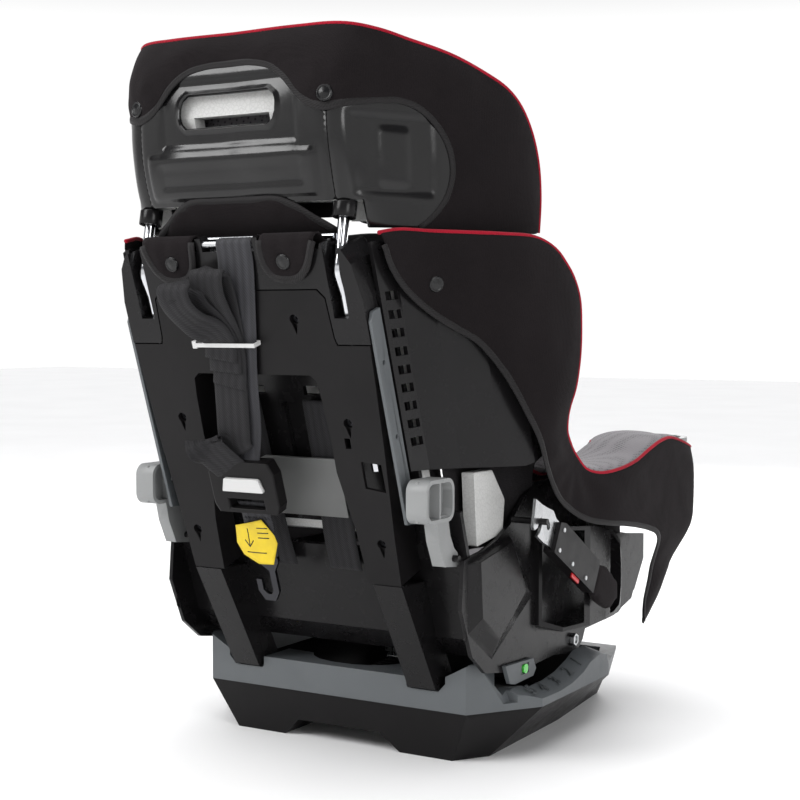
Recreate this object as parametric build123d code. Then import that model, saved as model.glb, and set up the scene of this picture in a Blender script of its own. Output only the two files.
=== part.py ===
from build123d import *
import math, os

# Convertible child car seat, millimetres.
# +Z up, +Y towards the back of the seat, +X to the child's left.
# The origin is on the floor under the middle of the base.
os.makedirs("parts", exist_ok=True)

# ---------------------------------------------------------------- driving dimensions
BASE_HALF_W = 196.0        # base half width at its parting line
BASE_REAR_Y = 163.0        # rear edge of the base
BASE_FRONT_Y = -185.0      # front edge of the base
SEAM_Z = 50.0              # parting line between tub and trim
TUB_WALL = 4.0
PIVOT_Y, PIVOT_Z = 60.0, 240.0   # centre of the recline arc
RECLINE_STEP = 2.5         # five positions, 2.5 degrees apart
LEAN = 18.5                # lean of the back from vertical, degrees
REAR_Y0, REAR_Z0 = 244.0, 224.0  # a point on the rear face of the back
SIDE_X = 169.0             # outer face of the rocker plates
ROD_X = 107.0              # headrest rods, spacing each side
ROD_R = 5.0
BORE_CLEAR = 0.08          # running clearance of a shaft in its bush
WEB_T = 1.4                # webbing thickness
WEB_W = 38.0               # webbing width
HEAD_Z0 = 499.0            # bottom of the headrest
CUP_X, CUP_Y, CUP_R = 187.0, -178.0, 42.0
AX_Y, AX_Z = -29.0, 90.5   # guide axle
STOW = (122.0, 232.0)      # stow pin of the lower connectors, (y, z)
LOCK_PIVOT = (207.5, 205.0)  # pivot of the belt lock-off levers, (y, z)

SN, CS = math.sin(math.radians(LEAN)), math.cos(math.radians(LEAN))


# ---------------------------------------------------------------- helpers
def face_of(pts):
    return Face(Wire.make_polygon([Vector(*p) for p in pts], close=True))


def yz(pts, x0, x1):
    """Outline in (y, z) carried from x0 to x1."""
    return extrude(face_of([(x0, y, z) for y, z in pts]), amount=x1 - x0, dir=(1, 0, 0))


def xz(pts, y0, y1):
    return extrude(face_of([(x, y0, z) for x, z in pts]), amount=y1 - y0, dir=(0, 1, 0))


def xy(pts, z0, z1):
    return extrude(face_of([(x, y, z0) for x, y in pts]), amount=z1 - z0, dir=(0, 0, 1))


def bx(x0, x1, y0, y1, z0, z1):
    return xy([(x0, y0), (x1, y0), (x1, y1), (x0, y1)], z0, z1)


def back(s, n):
    """Point (y, z) at height s along the lean of the back and n behind its rear face."""
    return (REAR_Y0 + SN * s + CS * n, REAR_Z0 + CS * s - SN * n)


def lean_face(pts, n0, n1):
    """Outline in (x, s) on the leaning rear face, carried from depth n0 to n1."""
    f = face_of([(x, *back(s, n0)) for x, s in pts])
    return extrude(f, amount=n1 - n0, dir=(0, CS, -SN))


def lean_plan(pts, s0, s1):
    """Outline in (x, n) carried up the lean of the back from s0 to s1."""
    f = face_of([(x, *back(s0, n)) for x, n in pts])
    return extrude(f, amount=s1 - s0, dir=(0, SN, CS))


def mir(p):
    return mirror(p, about=Plane.YZ)


def rod(p, q, r):
    p, q = Vector(*p), Vector(*q)
    d = q - p
    return extrude(Plane(origin=p, z_dir=d) * Circle(r), amount=d.length)


def ring_pts(pts):
    """Mirror a right-hand half outline (from +x centre line round) into a closed outline."""
    return pts + [(-x, v) for x, v in reversed(pts)]


def offset_path(path, d):
    """Open path in a plane moved sideways by d (to the left of its direction)."""
    out = []
    for i, (x, y) in enumerate(path):
        def nrm(a, b):
            dx, dy = b[0] - a[0], b[1] - a[1]
            L = math.hypot(dx, dy)
            return (-dy / L, dx / L)
        if i == 0:
            n = nrm(path[0], path[1])
            out.append((x + n[0] * d, y + n[1] * d))
        elif i == len(path) - 1:
            n = nrm(path[-2], path[-1])
            out.append((x + n[0] * d, y + n[1] * d))
        else:
            a, b = nrm(path[i - 1], path[i]), nrm(path[i], path[i + 1])
            mx, my = a[0] + b[0], a[1] + b[1]
            L = math.hypot(mx, my)
            mx, my = mx / L, my / L
            k = d / max(0.3, mx * a[0] + my * a[1])
            out.append((x + mx * k, y + my * k))
    return out


def band(levels, d0, d1):
    """Wall between two offsets of a path that is given at several heights."""
    secs = []
    for z, path in levels:
        a, b = offset_path(path, d0), offset_path(path, d1)
        secs.append(face_of([(x, y, z) for x, y in a + b[::-1]]))
    return loft(secs, ruled=True)


def ribbon(stations, half_w, t):
    """Strap: stations of (centre, width direction, thickness direction)."""
    secs = []
    for c, w, n in stations:
        c, w, n = Vector(*c), Vector(*w).normalized(), Vector(*n).normalized()
        a, b = w * half_w, n * (t / 2)
        secs.append(Wire.make_polygon([c - a - b, c + a - b, c + a + b, c - a + b], close=True))
    return Solid.make_loft(secs, ruled=True)


NODES = {}


def put(name, *shapes):
    """Write one sub-part: every solid of the given shapes, in one file."""
    solids = []
    for s in shapes:
        solids += list(s.solids())
    NODES[name] = solids
    comp = Compound(children=list(solids)) if len(solids) > 1 else solids[0]
    export_step(comp, f"parts/{name}.step")


# ================================================================ BASE
top_out = ring_pts([(149, 163), (196, 96), (196, -62), (152, -185)])
bot_out = ring_pts([(126, 149), (149, 116), (147, -42), (134, -174)])
top_in = ring_pts([(147, 159), (192, 94.7), (192, -61), (149.2, -181)])
bot_in = ring_pts([(125, 144), (144, 114), (142, -40), (130, -169)])


def two_level(bottom, z0, top, z1):
    return loft([face_of([(x, y, z0) for x, y in bottom]), face_of([(x, y, z1) for x, y in top])], ruled=True)


tub_solid = two_level(bot_out, 0, top_out, SEAM_Z)
# the inner cavity keeps the same slope, so it is cut a little above the seam as well
grow = [(x + (x - bx_) * 0.02, y + (y - by_) * 0.02) for (x, y), (bx_, by_) in zip(top_in, bot_in)]
tub_cav = two_level(bot_in, TUB_WALL, grow, SEAM_Z + 1.0)
arch_out = xz([(-75, -1), (-53, 22), (53, 22), (75, -1)], 60, 170)
arch_in = xz([(-70, -1), (-48, 18), (48, 18), (70, -1)], 55, 170)
arch_in = arch_in + bx(-48, 48, 55, 66, -1, 18)
tub = tub_solid - tub_cav + (tub_solid & arch_out)
tub = tub - xz([(-69, -1), (-48, 18), (48, 18), (69, -1)], 66, 170)
# floor ribs that carry the recline rack
for x in (-30, 26):
    tub = tub + bx(x, x + 4, -60, 62, 3, 22)
# low front edge in the middle, so that the recline handle can pass
tub = tub - bx(-64, 64, -200, -150, 36, 60)
put("base_tub", tub)

# gray upper trim: rear wall with pockets for the two back legs, corner humps,
# and a curved ledge with position numbers down each side
trim = xy(top_out, SEAM_Z + 0.05, 97)
inner_edge = ring_pts([(52, 121), (86, 118), (86, 108), (126, 108), (126, 128), (150, 128), (176, 90), (176, -70), (140, -168)])
trim = trim - xy(inner_edge, SEAM_Z - 1, 100)
scoop = xy([(-52, 120), (-44, 132), (-30, 142), (-12, 147), (12, 147), (30, 142), (44, 132), (52, 120)], SEAM_Z + 8, 100)
trim = trim - scoop
# the rear wall between the legs stands 80 high
trim = trim - bx(-84, 84, 90, 170, 80, 120)
# pockets for the back legs
for s in (1, -1):
    pocket = xz([(s * 84, 130), (s * 84, 71), (s * 86, 69), (s * 119, 69), (s * 126.5, 69 + 8), (s * 126.5, 130)], 90, 170)
    trim = trim - pocket
    # slope over the corner hump
    trim = trim - xz([(s * 110, 84), (s * 127, 84), (s * 150, 96.5), (s * 150, 130), (s * 110, 130)], 100, 170)
# ledge down each side
inner_prof = [(152, 120), (152, 97), (134, 72), (127, 64), (113, 68.5), (84, 67), (55, 67.3), (28, 70.5), (1, 78), (-15, 84.0), (-40, 84.0), (-56, 79), (-62, 70), (-95, 60), (-150, 56), (-200, 54), (-200, 120)]
outer_prof = [(135, 120), (135, 97), (128, 66), (122, 57), (108, 57), (84, 56), (55, 55.5), (28, 57.5), (1, 63), (-15, 70), (-40, 75), (-56, 72), (-62, 60), (-95, 56), (-150, 54), (-200, 53), (-200, 120)]
for s in (1, -1):
    tool = loft([face_of([(s * 172, y, z) for y, z in inner_prof]), face_of([(s * 200, y, z) for y, z in outer_prof])], ruled=True)
    trim = trim - tool
    trim = trim - yz([(y, z) for y, z in inner_prof if y <= 152], s * 156, s * 172.5)
    trim = trim - xz([(s * 156, 98), (s * 171.5, 57), (s * 200, 57), (s * 200, 130), (s * 156, 130)], 118, 170)
trim = trim - bx(-172, 172, -200, -70, 54, 130)
trim = trim - bx(-64, 64, -200, -150, 40, 60)
put("base_trim", trim)


# recline rack: an arc with notches, fixed in the middle of the base
def arc_pts(r, a0, a1, n):
    return [(PIVOT_Y + r * math.sin(math.radians(a0 + (a1 - a0) * i / n)), PIVOT_Z - r * math.cos(math.radians(a0 + (a1 - a0) * i / n))) for i in range(n + 1)]


rack_prof = arc_pts(180, -14, 8, 11) + [(PIVOT_Y + 180 * math.sin(math.radians(8)), 22.3), (PIVOT_Y - 180 * math.sin(math.radians(14)), 22.3)]
rack = yz(rack_prof, -20, 20) - yz([(26, 22), (26, 50), (76, 48), (76, 22)], -14, 14)
for i in range(5):
    a = math.radians(-8 + RECLINE_STEP * i)
    cy, cz = PIVOT_Y + 181 * math.sin(a), PIVOT_Z - 181 * math.cos(a)
    rack = rack - rod((-22, cy, cz), (22, cy, cz), 3.5)
put("recline_rack", rack)

# ================================================================ SEAT SHELL
side_prof = [(204, 203), (208, 158), (188, 112), (162, 92), (93, 80), (14, 82), (-2, 80), (-12, 78), (-44, 78), (-56, 86), (-62, 96), (-110, 97), (-150, 99), (-196, 118), (-222, 150), (-222, 178), (-120, 190), (-60, 262), (60, 262), (84, 249), (112, 226), (140, 214), (170, 207)]
pan_prof = [(-221, 150), (-192, 108), (-150, 99), (-30, 97), (60, 92), (140, 100), (165, 122), (186, 181), (181.5, 183), (160, 126), (137, 105.5), (60, 97), (-30, 102), (-148, 104), (-189, 112), (-216.5, 151)]
shell = yz(pan_prof, -SIDE_X + 2, SIDE_X - 2)
for s in (1, -1):
    shell = shell + yz(side_prof, s * (SIDE_X - 4), s * SIDE_X)
# back panel behind the foam, with slots for the harness
panel = lean_face([(-131, -62), (131, -62), (131, 250), (-131, 250)], -46, -41)
for s in (1, -1):
    for h in (120, 165, 210):
        panel = panel - lean_face([(s * 22, h), (s * 66, h), (s * 66, h + 9), (s * 22, h + 9)], -50, -38)
panel = panel - lean_face([(-70, -34), (70, -34), (70, -8), (-70, -8)], -50, -38)
shell = shell + panel
# ribs on the back panel
for x in (-64, 0, 64):
    shell = shell + lean_face([(x - 1.5, 20), (x + 1.5, 20), (x + 1.5, 112), (x - 1.5, 112)], -41.5, -34)
# back legs, hollow, standing in the pockets of the trim
for s in (1, -1):
    leg = yz([(228.3, 177.5), (166, 70.6), (128, 70.6), (187, 177.5)], s * 87.5, s * 118)
    leg = leg - yz([(223, 172), (161, 66), (132, 66), (187.5, 172)], s * 91, s * 114.5)
    shell = shell + leg
# side webs that tie the back panel to the rocker plates
for s in (1, -1):
    web = lean_face([(s * 126, -62), (s * 167, -62), (s * 167, 10), (s * 126, 10)], -46, -41)
    shell = shell + web
# moulded fenders below the belt openings, and the moulded side bulges under the arms
for s in (1, -1):
    shell = shell + loft([
        face_of([(s * 166, y, z) for y, z in [(200, 198), (112, 217), (50, 150), (150, 96), (200, 130)]]),
        face_of([(s * 178, y, z) for y, z in [(188, 200), (124, 211), (96, 160), (150, 124), (184, 148)]]),
    ], ruled=True)
    h = yz([(60, 120), (30, 110), (-90, 108), (-110, 112), (-124, 132), (-124, 160), (-108, 186), (-84, 199), (-28, 210), (60, 218)], s * 166, s * 195)
    h = h - yz([(56, 124), (28, 114), (-88, 112), (-106, 116), (-120, 134), (-120, 158), (-106, 182), (-82, 195), (-26, 206), (56, 214)], s * 160, s * 191.5)
    h = h & xy([(s * 166, 60), (s * 174, 60), (s * 186, 30), (s * 193, -20), (s * 193, -60), (s * 188, -110), (s * 182, -128), (s * 166, -128)], 90, 300)
    shell = shell + h
    # stow pin for the lower connector, and the pivot pin of the belt lock-off
    shell = shell + rod((s * 176, *STOW), (s * 213, *STOW), 3.0)
    shell = shell + rod((s * 141, *LOCK_PIVOT), (s * 166, *LOCK_PIVOT), 3.0)
    shell = shell - rod((s * 150, AX_Y, AX_Z), (s * 190, AX_Y, AX_Z), 4.1)
put("seat_shell", shell)

# guide axle across the shell in front, with a nut each end: it follows the recline arc
axle = rod((-172.5, AX_Y, AX_Z), (172.5, AX_Y, AX_Z), 4.0)
nuts = []
for s in (1, -1):
    hexa = extrude(Plane(origin=(s * 169.3, AX_Y, AX_Z), z_dir=(s, 0, 0)) * RegularPolygon(6.5, 6), amount=4.5)
    nuts.append(hexa - rod((s * 168, AX_Y, AX_Z), (s * 176, AX_Y, AX_Z), 4.05))
put("guide_axle", axle, *nuts)

# ================================================================ REAR COVER
cov_out = [(118, -48), (120, 0), (126, 86), (129, 146), (130.5, 183), (97, 183), (95, 190), (93, 226), (86, 233.5)]
win = [(83, -60), (82, -28), (80, 5), (71, 62), (71.5, 95), (70, 131), (68, 150), (62, 155)]
outer = lean_face(ring_pts(cov_out), -36, 0)
inner = lean_face(ring_pts([(114.5, -60), (116.5, 0), (122.5, 86), (125.5, 146), (127, 179.5), (93.5, 179.5), (91.5, 188), (89.5, 223), (84, 230)]), -40, -3.5)
window = lean_face(ring_pts(win), -50, 5)
win_grown = lean_face(ring_pts([(86, -60), (85, -28), (83, 5), (74, 62), (74.5, 95), (73, 132), (70.5, 153), (64, 158)]), -28, 5)
win_lip = win_grown - window
cover = (outer - inner) + (outer & win_lip)
cover = cover - window
# screw bosses with teardrop recesses
bosses = [(105, -7), (93, 110), (57, 207)]
for x, s_ in bosses:
    for sx in (1, -1):
        c0 = (sx * x, *back(s_, -30))
        c1 = (sx * x, *back(s_, -1))
        cover = cover + rod(c0, c1, 6.5)
        cover = cover - rod((sx * x, *back(s_, -8)), (sx * x, *back(s_, 2)), 4.6)
        cover = cover - lean_face([(sx * x - 4.0, s_), (sx * x + 4.0, s_), (sx * x, s_ - 14)], -3.2, 2)
        cover = cover - rod((sx * x, *back(s_, -31)), (sx * x, *back(s_, 2)), 2.1)
# small square slots beside the rail
cover = cover - lean_face([(-92, 86), (-86, 86), (-86, 96), (-92, 96)], -5, 2)
cover = cover - lean_face([(-120, 45), (-99, 48), (-99, 74), (-120, 72)], -5, 2)
for s in (1, -1):
    cover = cover - rod((s * ROD_X, *back(174, -12)), (s * ROD_X, *back(190, -12)), 6.2)
put("rear_cover", cover)

screws = []
for x, s_ in bosses:
    for sx in (1, -1):
        head = rod((sx * x, *back(s_, -8)), (sx * x, *back(s_, -5)), 4.2)
        head = head - rod((sx * x, *back(s_, -6.2)), (sx * x, *back(s_, -4)), 1.6)
        shank = rod((sx * x, *back(s_, -29)), (sx * x, *back(s_, -7.9)), 1.9)
        screws.append(head + shank)
put("rear_cover_screws", *screws)

# shoulder housing above the parting groove, with the two rod channels and the lugs of the tether bar
sh_face = ring_pts([(131.5, 184.2), (131.5, 224), (126, 256), (118, 269), (98, 275), (96, 270)])
groove = ring_pts([(98.2, 180), (98.2, 184.3), (96.2, 190.5), (94.2, 227), (87, 234.8)])
housing = lean_face(sh_face, -40, 0) - lean_face(groove, -60, 5)
housing = housing - lean_face(ring_pts([(128, 180), (128, 223), (122.5, 254), (116, 265), (98, 266)]), -45, -3.5)
block = None
for s in (1, -1):
    block = lean_face([(s * 97, 186), (s * 118, 186), (s * 118, 268.5), (s * 97, 274)], -32, -0.2)
    housing = housing + block
    housing = housing + lean_face([(s * 28, 262), (s * 34, 262), (s * 34, 282), (s * 28, 282)], -12, 0)
for s in (1, -1):
    housing = housing - lean_face([(s * 99.5, 208), (s * 114.5, 208), (s * 114.5, 300), (s * 99.5, 300)], -40, 5)
    housing = housing - rod((s * ROD_X, *back(170, -12)), (s * ROD_X, *back(300, -12)), 6.2)
housing = housing - lean_face([(-112, 262), (112, 262), (112, 300), (-112, 300)], -33, -16.5)
housing = housing - rod((-40, *back(276, -4)), (40, *back(276, -4)), 3.05)
put("shoulder_housing", housing)

# steel bar across the top that the tether strap loops over
put("tether_anchor_bar", rod((-35, *back(276, -4)), (35, *back(276, -4)), 3.0))

# bushes that guide the rods
guides = []
for s in (1, -1):
    g = lean_face([(s * 98.5, 150), (s * 115.5, 150), (s * 115.5, 172), (s * 98.5, 172)], -36, -4)
    g = g - rod((s * ROD_X, *back(140, -12)), (s * ROD_X, *back(180, -12)), ROD_R + BORE_CLEAR)
    guides.append(g)
put("rod_bushes", *guides)

# gray strips along the side of the rails
strips = []
for s in (1, -1):
    st = yz([back(8, -19), back(14, -1.5), back(204, -1.5), back(212, -7), back(212, -19)], s * 131.9, s * 135.4)
    for h in (40, 96, 165):
        st = st - rod((s * 130, *back(h, -10)), (s * 138, *back(h, -10)), 2.0)
    strips.append(st)
put("side_strips", *strips)

# ================================================================ SIDE PANELS
# slanted outer wall each side of the back, with the slotted track by the rail and the belt path below
sp_path = [(132, -22), (136, -48), (152, -78), (178, -112), (194, -140), (198, -196)]


def side_panel(s, grow=0.0):
    a = offset_path(sp_path, -grow)
    b = offset_path(sp_path, 4.0 + grow)
    p = lean_plan([(s * x, n) for x, n in a + b[::-1]], 20 - grow, 268 + grow)
    # below the belt opening the wall stops at z = 285; forward it follows a line down to the arm
    keep = yz([(30, 262 - grow), (96, 262 - grow), (120, 284 - grow), (300, 286 - grow), (380, 520), (60, 520), (60, 330), (20, 300)], s * 100, s * 230)
    return p & keep


panels = []
for s in (1, -1):
    p = side_panel(s)
    for k in range(9):
        h = 75 + k * 17
        p = p - yz([back(h, -44), back(h + 4, -28), back(h + 12, -28), back(h + 8, -44)], s * 120, s * 146)
    p = p - yz([back(0, 0), back(300, 0), back(300, -21.5), back(0, -21.5)], s * 100, s * 160)
    panels.append(p)
put("side_panels", *panels)

# ================================================================ FOAM
foam_back = lean_face([(-130, -20), (130, -20), (130, 238), (-130, 238)], -62, -47)
for s in (1, -1):
    for h in (120, 165, 210):
        foam_back = foam_back - lean_face([(s * 22, h), (s * 66, h), (s * 66, h + 9), (s * 22, h + 9)], -70, -40)
put("seat_foam", yz([(-205, 150), (-180, 118), (-140, 108), (-30, 106), (60, 102), (130, 110), (150, 128), (166, 166), (150, 170), (120, 140), (60, 132), (-60, 132), (-190, 160)], -160, 160) - bx(-24, 24, -74, -50, 90, 200))
# white foam blocks seen through the belt openings
put("back_foam", foam_back, *[yz([(118, 218), (170, 211), (176, 280), (140, 280), (114, 250)], s * 150.5, s * 164) for s in (1, -1)])

# ================================================================ SOFT COVERS (plain solids)
put("back_pad", lean_face([(-138, -40), (138, -40), (138, 236), (-138, 236)], -86, -63) - lean_face([(-70, 118), (-18, 118), (-18, 130), (-70, 130)], -90, -60) - lean_face([(18, 118), (70, 118), (70, 130), (18, 130)], -90, -60))
seat_pad = yz([(-236, 168), (-228, 190), (-190, 192), (-60, 166), (60, 160), (118, 170), (133, 176), (110, 144), (58, 134), (-62, 134), (-194, 162), (-224, 152)], -136, 136)
seat_pad = seat_pad - bx(-24, 24, -74, -50, 100, 200)
put("seat_pad", seat_pad)

wing_plan = [(-134.5, -47), (-165, -84), (-203, -122), (-216, -190), (-232, -244), (-228, -258), (-210, -262), (-188, -248), (-168, -200), (-152, -140), (-142, -88), (-140, -64), (-150, -50)]
covers = []
for s in (1, -1):
    # plan outline in (x, depth n) of a padded side wing, carried up the lean
    outl = [(s * abs(x), n) for x, n in [(141, -62), (149, -66.5), (152, -84), (176, -119.5), (189.5, -145), (193.2, -190), (193.2, -200), (203, -200), (203, -140), (201, -112), (212, -116), (222, -170), (232, -236), (230, -254), (214, -262), (196, -250), (176, -206), (158, -150), (142, -92)]]
    w = lean_plan(outl, -60, 262)
    keep = yz([(84, 252), (108, 280), (127, 307), (146, 331), (165, 358), (185, 384), (210, 408), (262, 440), (330, 492), (251, 496), (150, 494), (135, 488), (100, 470), (88, 448), (86, 364), (98, 327), (55, 311), (39, 300), (39, 264), (60, 263.5)], s * 120, s * 240)
    w = (w & keep) - side_panel(s, 0.6)
    covers.append(sorted(w.solids(), key=lambda q: -q.volume)[0])

# ================================================================ ARMS
arm_prof = [(37.5, 232), (37.5, 268), (-5, 270), (-50, 276), (-85, 288), (-110, 293), (-135, 295), (-168, 288), (-212, 277), (-236, 262), (-240, 250), (-228, 212), (-238, 182), (-230, 149), (-197, 116), (-137, 108), (-120, 108), (-131, 132), (-131, 162), (-116, 192), (-85, 206), (-28, 217), (33, 226)]
for s in (1, -1):
    a = yz(arm_prof, s * 172, s * 228)
    # soft plan shape: narrower at the front corner
    a = a & xy([(s * 172, 60), (s * 206, 60), (s * 222, 0), (s * 229, -80), (s * 229, -160), (s * 215, -222), (s * 190, -240), (s * 172, -240)], 90, 320)
    # inner bolster over the side wall
    inner_b = yz([(30, 263.5), (24, 268), (-5, 270), (-50, 276), (-85, 288), (-110, 293), (-130, 293), (-130, 263.5)], s * 150, s * 172)
    inner_c = yz([(60, 176), (30, 268), (-5, 270), (-50, 276), (-85, 288), (-125, 290), (-125, 196), (-60, 178)], s * 140, s * 163.5)
    a = a + inner_b + inner_c
    a = a - extrude(Plane(origin=(s * CUP_X, CUP_Y, 196)) * Circle(CUP_R + 1.2), amount=120)
    a = a - extrude(Plane(origin=(s * CUP_X, CUP_Y, 284)) * Circle(CUP_R + 5.5), amount=40)
    covers.append(sorted(a.solids(), key=lambda q: -q.volume)[0])
put("seat_cover", *covers)

for name, s in (("left_cup_holder", 1), ("right_cup_holder", -1)):
    c = extrude(Plane(origin=(s * CUP_X, CUP_Y, 198)) * Circle(CUP_R - 6), amount=92, taper=-3.2)
    c = extrude(Plane(origin=(s * CUP_X, CUP_Y, 198)) * Circle(CUP_R), amount=90)
    c = c + extrude(Plane(origin=(s * CUP_X, CUP_Y, 287)) * Circle(CUP_R + 4), amount=5)
    c = c - extrude(Plane(origin=(s * CUP_X, CUP_Y, 201)) * Circle(CUP_R - 3), amount=120)
    put(name, c)

# ================================================================ HEADREST
HP = {
    500: [(-196, 116), (-188, 150), (-172, 192), (-150, 240), (-130, 275), (-112, 296), (-72, 304), (72, 304), (112, 296), (130, 275), (150, 240), (172, 192), (188, 150), (196, 116)],
    600: [(-198, 118), (-192, 152), (-175, 196), (-153, 246), (-133, 285), (-113, 320), (-72, 329), (72, 329), (113, 320), (133, 285), (153, 246), (175, 196), (192, 152), (198, 118)],
    674: [(-192, 126), (-186, 158), (-168, 204), (-146, 250), (-127, 284), (-106, 306), (-70, 314), (70, 314), (106, 306), (127, 284), (146, 250), (168, 204), (186, 158), (192, 126)],
}
levels = [(z, HP[z]) for z in (500, 600, 674)]
top_edge = [(120, 520), (122, 540), (127, 570), (136, 592), (150, 614), (166, 630), (190, 643), (213, 650), (232, 655), (262, 660), (285, 662), (340, 662), (345, 500), (345, 470)]
hs_keep = yz([(123, 506), (126, 540), (131, 568), (140, 589), (153, 609), (168, 624), (190, 637), (213, 644), (262, 653), (300, 655), (345, 655), (345, 506)], -220, 220)
low_cut = bx(-126, 126, 280, 350, 480, 523)
shell_h = band(levels, -1.0, -5.0)
shell_h = (shell_h & hs_keep) - low_cut
# grip slot near the top of the back
grip = xz([(-50, 598), (-44, 591), (44, 591), (50, 598), (50, 610), (44, 617), (-44, 617), (-50, 610)], 300, 345)
shell_h = shell_h - grip
# raised panel on the rear face
raised = xz([(-86, 527), (86, 527), (80, 546), (-80, 546)], 300, 322)
put("headrest_shell", shell_h)
foam_h = (band(levels, -5.6, -20.0) & hs_keep) - low_cut - bx(-41, 41, 304, 325, 581, 600)
put("headrest_foam", foam_h)

# fabric cover: inner pad, roll over the top edge, and outer skin with the rear cut-out
cov_keep = yz([(115, HEAD_Z0), (117, 536), (123, 568), (131, 590), (145, 614), (161, 629), (184, 641), (209, 651), (229, 656), (258, 662), (282, 668), (306, 672), (324, 667), (345, 655), (345, HEAD_Z0)], -220, 220)
cov_all = band(levels, 2.5, -40.0) & cov_keep
cov_void = band([(490, HP[500])] + levels + [(700, HP[674])], -0.4, -20.6) & yz([(120, 490), (123, 540), (128, 569), (137, 590), (150, 611), (166, 627), (189, 640), (213, 647), (262, 656.5), (345, 656.5), (345, 490)], -230, 230)
cut_rear = yz([(345, 490), (345, 640), (325, 606), (285, 608), (252, 605), (236, 591), (223, 570), (221, 548), (228, 526), (243, 508), (262, 490)], -230, 230) - xz([(-100, 480), (100, 480), (100, 700), (-100, 700)], 100, 400)
cut_mid = xz([(-101, 600), (-70, 640), (-50, 650), (0, 652), (50, 650), (70, 640), (101, 600), (101, 480), (-101, 480)], 300, 360)
headc = cov_all - cov_void - cut_rear - cut_mid
big = sorted(headc.solids(), key=lambda s: -s.volume)
put("headrest_cover", big[0] - bx(-126, 126, 285, 350, 480, 523))

# rods: straight in the back, bent at the shoulders, up into the collars of the headrest
A_, B_ = back(226, -12), back(248, -8)
TOP_ = (B_[0] - 11.4, B_[1] + 59.4)
rods = []
for s in (1, -1):
    pts = [(s * ROD_X, *back(62, -12)), (s * ROD_X, *A_), (s * ROD_X, *B_), (s * ROD_X, *TOP_)]
    path = FilletPolyline(*pts, radius=14)
    rods.append(sweep(Plane(origin=path @ 0, z_dir=path % 0) * Circle(ROD_R), path=path))
put("headrest_rods", *rods)
put("headrest_crossbar", rod((-ROD_X + 5.3, *back(276, -20)), (ROD_X - 5.3, *back(276, -20)), 2.6))

# collars moulded under the headrest
DY_, DZ_ = -11.4 / 60.5, 59.4 / 60.5
cols = []
for s in (1, -1):
    p0 = (TOP_[0] - DY_ * 14, TOP_[1] - DZ_ * 14)
    p1 = (TOP_[0] + DY_ * 8, TOP_[1] + DZ_ * 8)
    c = rod((s * ROD_X, *p0), (s * ROD_X, *p1), 10.5) - rod((s * ROD_X, p0[0] - DY_ * 5, p0[1] - DZ_ * 5), (s * ROD_X, p1[0] + DY_ * 5, p1[1] + DZ_ * 5), ROD_R + 0.05)
    cols.append(c - bx(-200, 200, 200, 400, 522.2, 600))
put("rod_collars", *cols)

# squeeze lever behind the grip slot
put("headrest_release_lever", bx(-38, 38, 309.5, 316, 582.0, 592.0))

# ================================================================ LEVEL INDICATOR
put("level_housing", yz([(130, 93), (70, 90), (64, 79), (70, 72.5), (109, 71.5), (120, 74)], -169.2, -173.5) - yz([(96, 78), (80, 78), (80, 88), (96, 88)], -171.5, -175))
put("level_bubble", rod((-171.7, 88, 83), (-174.4, 88, 83), 4.6))

# ================================================================ BELT LOCK-OFFS
for name, s in (("left_lockoff_lever", 1), ("right_lockoff_lever", -1)):
    stem = yz([(218, 246), (240, 246), (234, 222), (223, 199), (201, 196.5), (196.5, 200), (200, 209.5), (206, 214), (213, 226)], s * 147, s * 160)
    knob = extrude(Plane(origin=(s * 143, 238, 260), x_dir=(0, 1, 0), z_dir=(s, 0, 0)) * RectangleRounded(50, 39, 11), amount=21)
    hollow = extrude(Plane(origin=(s * 140, 238, 260), x_dir=(0, 1, 0), z_dir=(s, 0, 0)) * RectangleRounded(43, 32, 8), amount=30)
    lever = stem + (knob - hollow) + bx(s * 151, s * 153.5, 216, 260, 242, 278) + bx(s * 143.5, s * 163.5, 236.8, 239.2, 243, 277)
    lever = lever - rod((s * 135, *LOCK_PIVOT), (s * 170, *LOCK_PIVOT), 3.0 + BORE_CLEAR)
    put(name, lever)

# ================================================================ LOWER CONNECTORS, stowed on their pins
TA = (-0.865, -0.5018)   # direction from hook to tail in (y, z)
TB = (-0.5018, 0.865)


def lp(t, w):
    return (STOW[0] + TA[0] * t + TB[0] * w, STOW[1] + TA[1] * t + TB[1] * w)


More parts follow.
